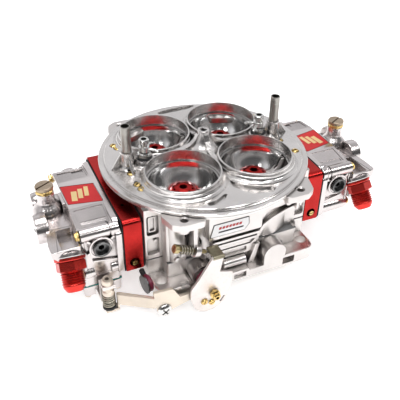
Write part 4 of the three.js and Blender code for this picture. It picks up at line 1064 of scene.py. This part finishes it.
# the tab's darker zinc is painted shade, with real speckles
piece("lever_tab", lever_tab(), SHADED_SPECKLED_ZINC, body=LEVER_BODY)
piece("lever_stud", lever_stud(), BRASS, body=LEVER_BODY)
screws = merged(pan_head(-38.3, -3.2, 3.1, 75), pan_head(-31.4, -6.0, 2.9, 20))
piece("lever_screws", screws, BRASS, body=LEVER_BODY)
piece("idle_adjuster", idle_screw(), DARK_BRASS, ["idle_screw"], body="idle_screw_set")
spring = coil(idle_point(2.8), idle_point(16.0), 3.4, 0.6, 5.5)
piece("idle_spring", spring, WIRE)


# ---------------------------------------------------------------- side disc and label
SIDE_AXIS = (1, 0.18, 0)
# maroon disc, dark washer and rubber-covered rod at the lever side of the primary metering block
side_disc = [(0, 0), (7.0, 0), (7.6, 0.8), (7.6, 3.2), (7.0, 4), (0, 4)]
piece("side_disc", soft_lathe(side_disc, (-82.6, -69.9, 15.6), SIDE_AXIS), MAROON)
piece("side_washer", disc(8.3, 0, 1.2, (-84.0, -70.2, 15.6), SIDE_AXIS), DARK_STEEL)
piece("side_rod", rod(2.3, (-81.8, -57.6, 20.7), (-81.6, -71.5, 17.5), 20, 0.3), RUBBER)

LABEL_BACK, LABEL_FACE = -74.6, -75.5
STRIPE_BACK, STRIPE_FACE = -75.4, -75.62
plate = rounded([(-26.6, 50.4), (-23.2, 62.4), (8.0, 62.4), (8.6, 55.4), (4.6, 50.4)], 0.8, 2)
frame_line = rounded([(-27.4, 49.8), (-23.8, 63.0), (8.7, 63.0), (9.3, 55.2), (5.0, 49.8)], 0.9, 2)
piece("label_plate", prism(plate, LABEL_FACE, LABEL_BACK, "y", 0.15), LABEL)
rim = build(prism(frame_line, -75.2, LABEL_BACK, "y"), ("-", prism(plate, -76, -74, "y")))
piece("label_rim", rim, BLACK)
dashes = [prism([(x, z), (x + 2.2, z), (x + 2.9, z + 2.4), (x + 0.7, z + 2.4)], STRIPE_FACE, STRIPE_BACK, "y")
          for x, z in ((-19.4 + 3.1 * k, 57.2 - 0.02 * k) for k in range(7))]
piece("label_stripe_red", merged(*dashes), BADGE)
stripe = prism([(-19.6, 53.6), (3.2, 53.6), (3.6, 55.0), (-19.2, 55.0)], STRIPE_FACE, STRIPE_BACK, "y")
piece("label_stripe_black", stripe, BLACK)


# ---------------------------------------------------------------- finishes of the CAD pieces that stay
CAD_FINISH = {"body_gasket": GREY_SHEET, "throttle_plate": BRASS, "block_gasket": BLACK, "bowl_gasket": BLACK,
              "inlet_needle": BRIGHT, "float": FLOAT, "pump_diaphragm": TEAL, "mixture_screw": BRASS,
              "throttle_shaft": BRIGHT, "link_lever": ZINC, "pump_cam": MAROON, "throttle_link": ZINC}
SOFT_EDGED = ("link_lever", "throttle_link", "throttle_plate", "pump_cam")
for name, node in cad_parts.items():
    for start, material in CAD_FINISH.items():
        if name.startswith(start):
            node.data.materials.clear()
            node.data.materials.append(material)
    if name.startswith(SOFT_EDGED):
        soft = node.modifiers.new("edge", "BEVEL")
        soft.width, soft.segments, soft.limit_method, soft.angle_limit = 0.4 * MM, 2, "ANGLE", radians(40)


# ---------------------------------------------------------------- stage
FLOOR_HALF, FLOOR_GAP = 4, 0.001
# brightness of the sky from straight below to straight above; the near side is dimmed to NEAR_SKY
SKY = (1.3, 0.7, 0.5, 0.98, 0.84, 0.42, 0.40)
NEAR_SKY = 0.13
LAMP_AIM = Vector((0, 0, 0.03))
LAMPS = (("blob_1", 0.32, (-1.1, -0.8, 1.3), 4), ("blob_2", 0.32, (-0.4, -1.1, 1.4), 4),
         ("blob_3", 0.32, (0.4, -1.1, 1.4), 4), ("blob_4", 0.32, (1.0, -0.7, 1.3), 4),
         ("top", 0.9, (0.1, 0.1, 1.8), 14))
CAMERA_SPOT, CAMERA_AIM, CAMERA_ROLL = (-187.90, -408.12, 360.37), (-4.78, -5.49, 36.08), 0.79


def lamp(name, size, at, power):
    light = bpy.data.lights.new(name, "AREA")
    light.shape, light.size, light.energy = "SQUARE", size, power
    obj = bpy.data.objects.new(name, light)
    bpy.context.scene.collection.objects.link(obj)
    obj.location = at
    obj.rotation_euler = (LAMP_AIM - Vector(at)).to_track_quat("-Z", "Y").to_euler()


def floor():
    """A white studio floor that gives some light of its own."""
    mesh = bpy.data.meshes.new("floor")
    z = cad_bounds[0][2] - FLOOR_GAP
    mesh.from_pydata([(x, y, z) for x, y in rect(-FLOOR_HALF, FLOOR_HALF, -FLOOR_HALF, FLOOR_HALF)], [],
                     [(0, 1, 2, 3)])
    obj = bpy.data.objects.new("floor", mesh)
    bpy.context.scene.collection.objects.link(obj)
    mat = bpy.data.materials.new("floor paint")
    mat.use_nodes = True
    paint = mat.node_tree.nodes["Principled BSDF"].inputs
    paint["Base Color"].default_value = (0.93, 0.93, 0.93, 1)
    paint["Roughness"].default_value = 0.9
    paint["Emission Color"].default_value = (1, 1, 1, 1)
    paint["Emission Strength"].default_value = 0.5
    mesh.materials.append(mat)


def sky():
    world = bpy.data.worlds.new("studio")
    bpy.context.scene.world = world
    world.use_nodes = True
    nodes, links = world.node_tree.nodes, world.node_tree.links
    split, ramp = nodes.new("ShaderNodeSeparateXYZ"), nodes.new("ShaderNodeValToRGB")
    dim, shade = nodes.new("ShaderNodeMapRange"), nodes.new("ShaderNodeMix")
    for key, v in (("From Min", -0.55), ("From Max", -0.1), ("To Min", NEAR_SKY), ("To Max", 1.0)):
        dim.inputs[key].default_value = v
    shade.data_type, shade.blend_type = "RGBA", "MULTIPLY"
    shade.inputs["Factor"].default_value = 1.0
    links.new(nodes.new("ShaderNodeTexCoord").outputs["Generated"], split.inputs[0])
    links.new(split.outputs["Z"], ramp.inputs["Fac"])
    links.new(split.outputs["Y"], dim.inputs["Value"])
    links.new(ramp.outputs["Color"], shade.inputs["A"])
    links.new(dim.outputs["Result"], shade.inputs["B"])
    links.new(shade.outputs["Result"], nodes["Background"].inputs["Color"])
    steps = ramp.color_ramp.elements
    steps[0].position, steps[0].color = 0.0, (*[SKY[0]] * 3, 1)
    steps[1].position, steps[1].color = 1.0, (*[SKY[-1]] * 3, 1)
    for i, v in enumerate(SKY[1:-1]):
        steps.new((i + 1) / (len(SKY) - 1)).color = (v, v, v * 1.02, 1)
    nodes["Background"].inputs["Strength"].default_value = 1.0


def camera():
    data = bpy.data.cameras.new("camera")
    data.sensor_width, data.lens = 36.0, 52.85
    data.clip_start, data.clip_end = 0.01, 20
    obj = bpy.data.objects.new("camera", data)
    bpy.context.scene.collection.objects.link(obj)
    aim, spot = Vector(CAMERA_AIM) * MM, Vector(CAMERA_SPOT) * MM
    look = (aim - spot).to_track_quat("-Z", "Y")
    obj.location = spot
    obj.rotation_euler = (look @ Matrix.Rotation(radians(CAMERA_ROLL), 3, "Z").to_quaternion()).to_euler()
    bpy.context.scene.camera = obj


floor()
sky()
for settings in LAMPS:
    lamp(*settings)
camera()
bpy.context.scene.view_settings.view_transform = "Standard"
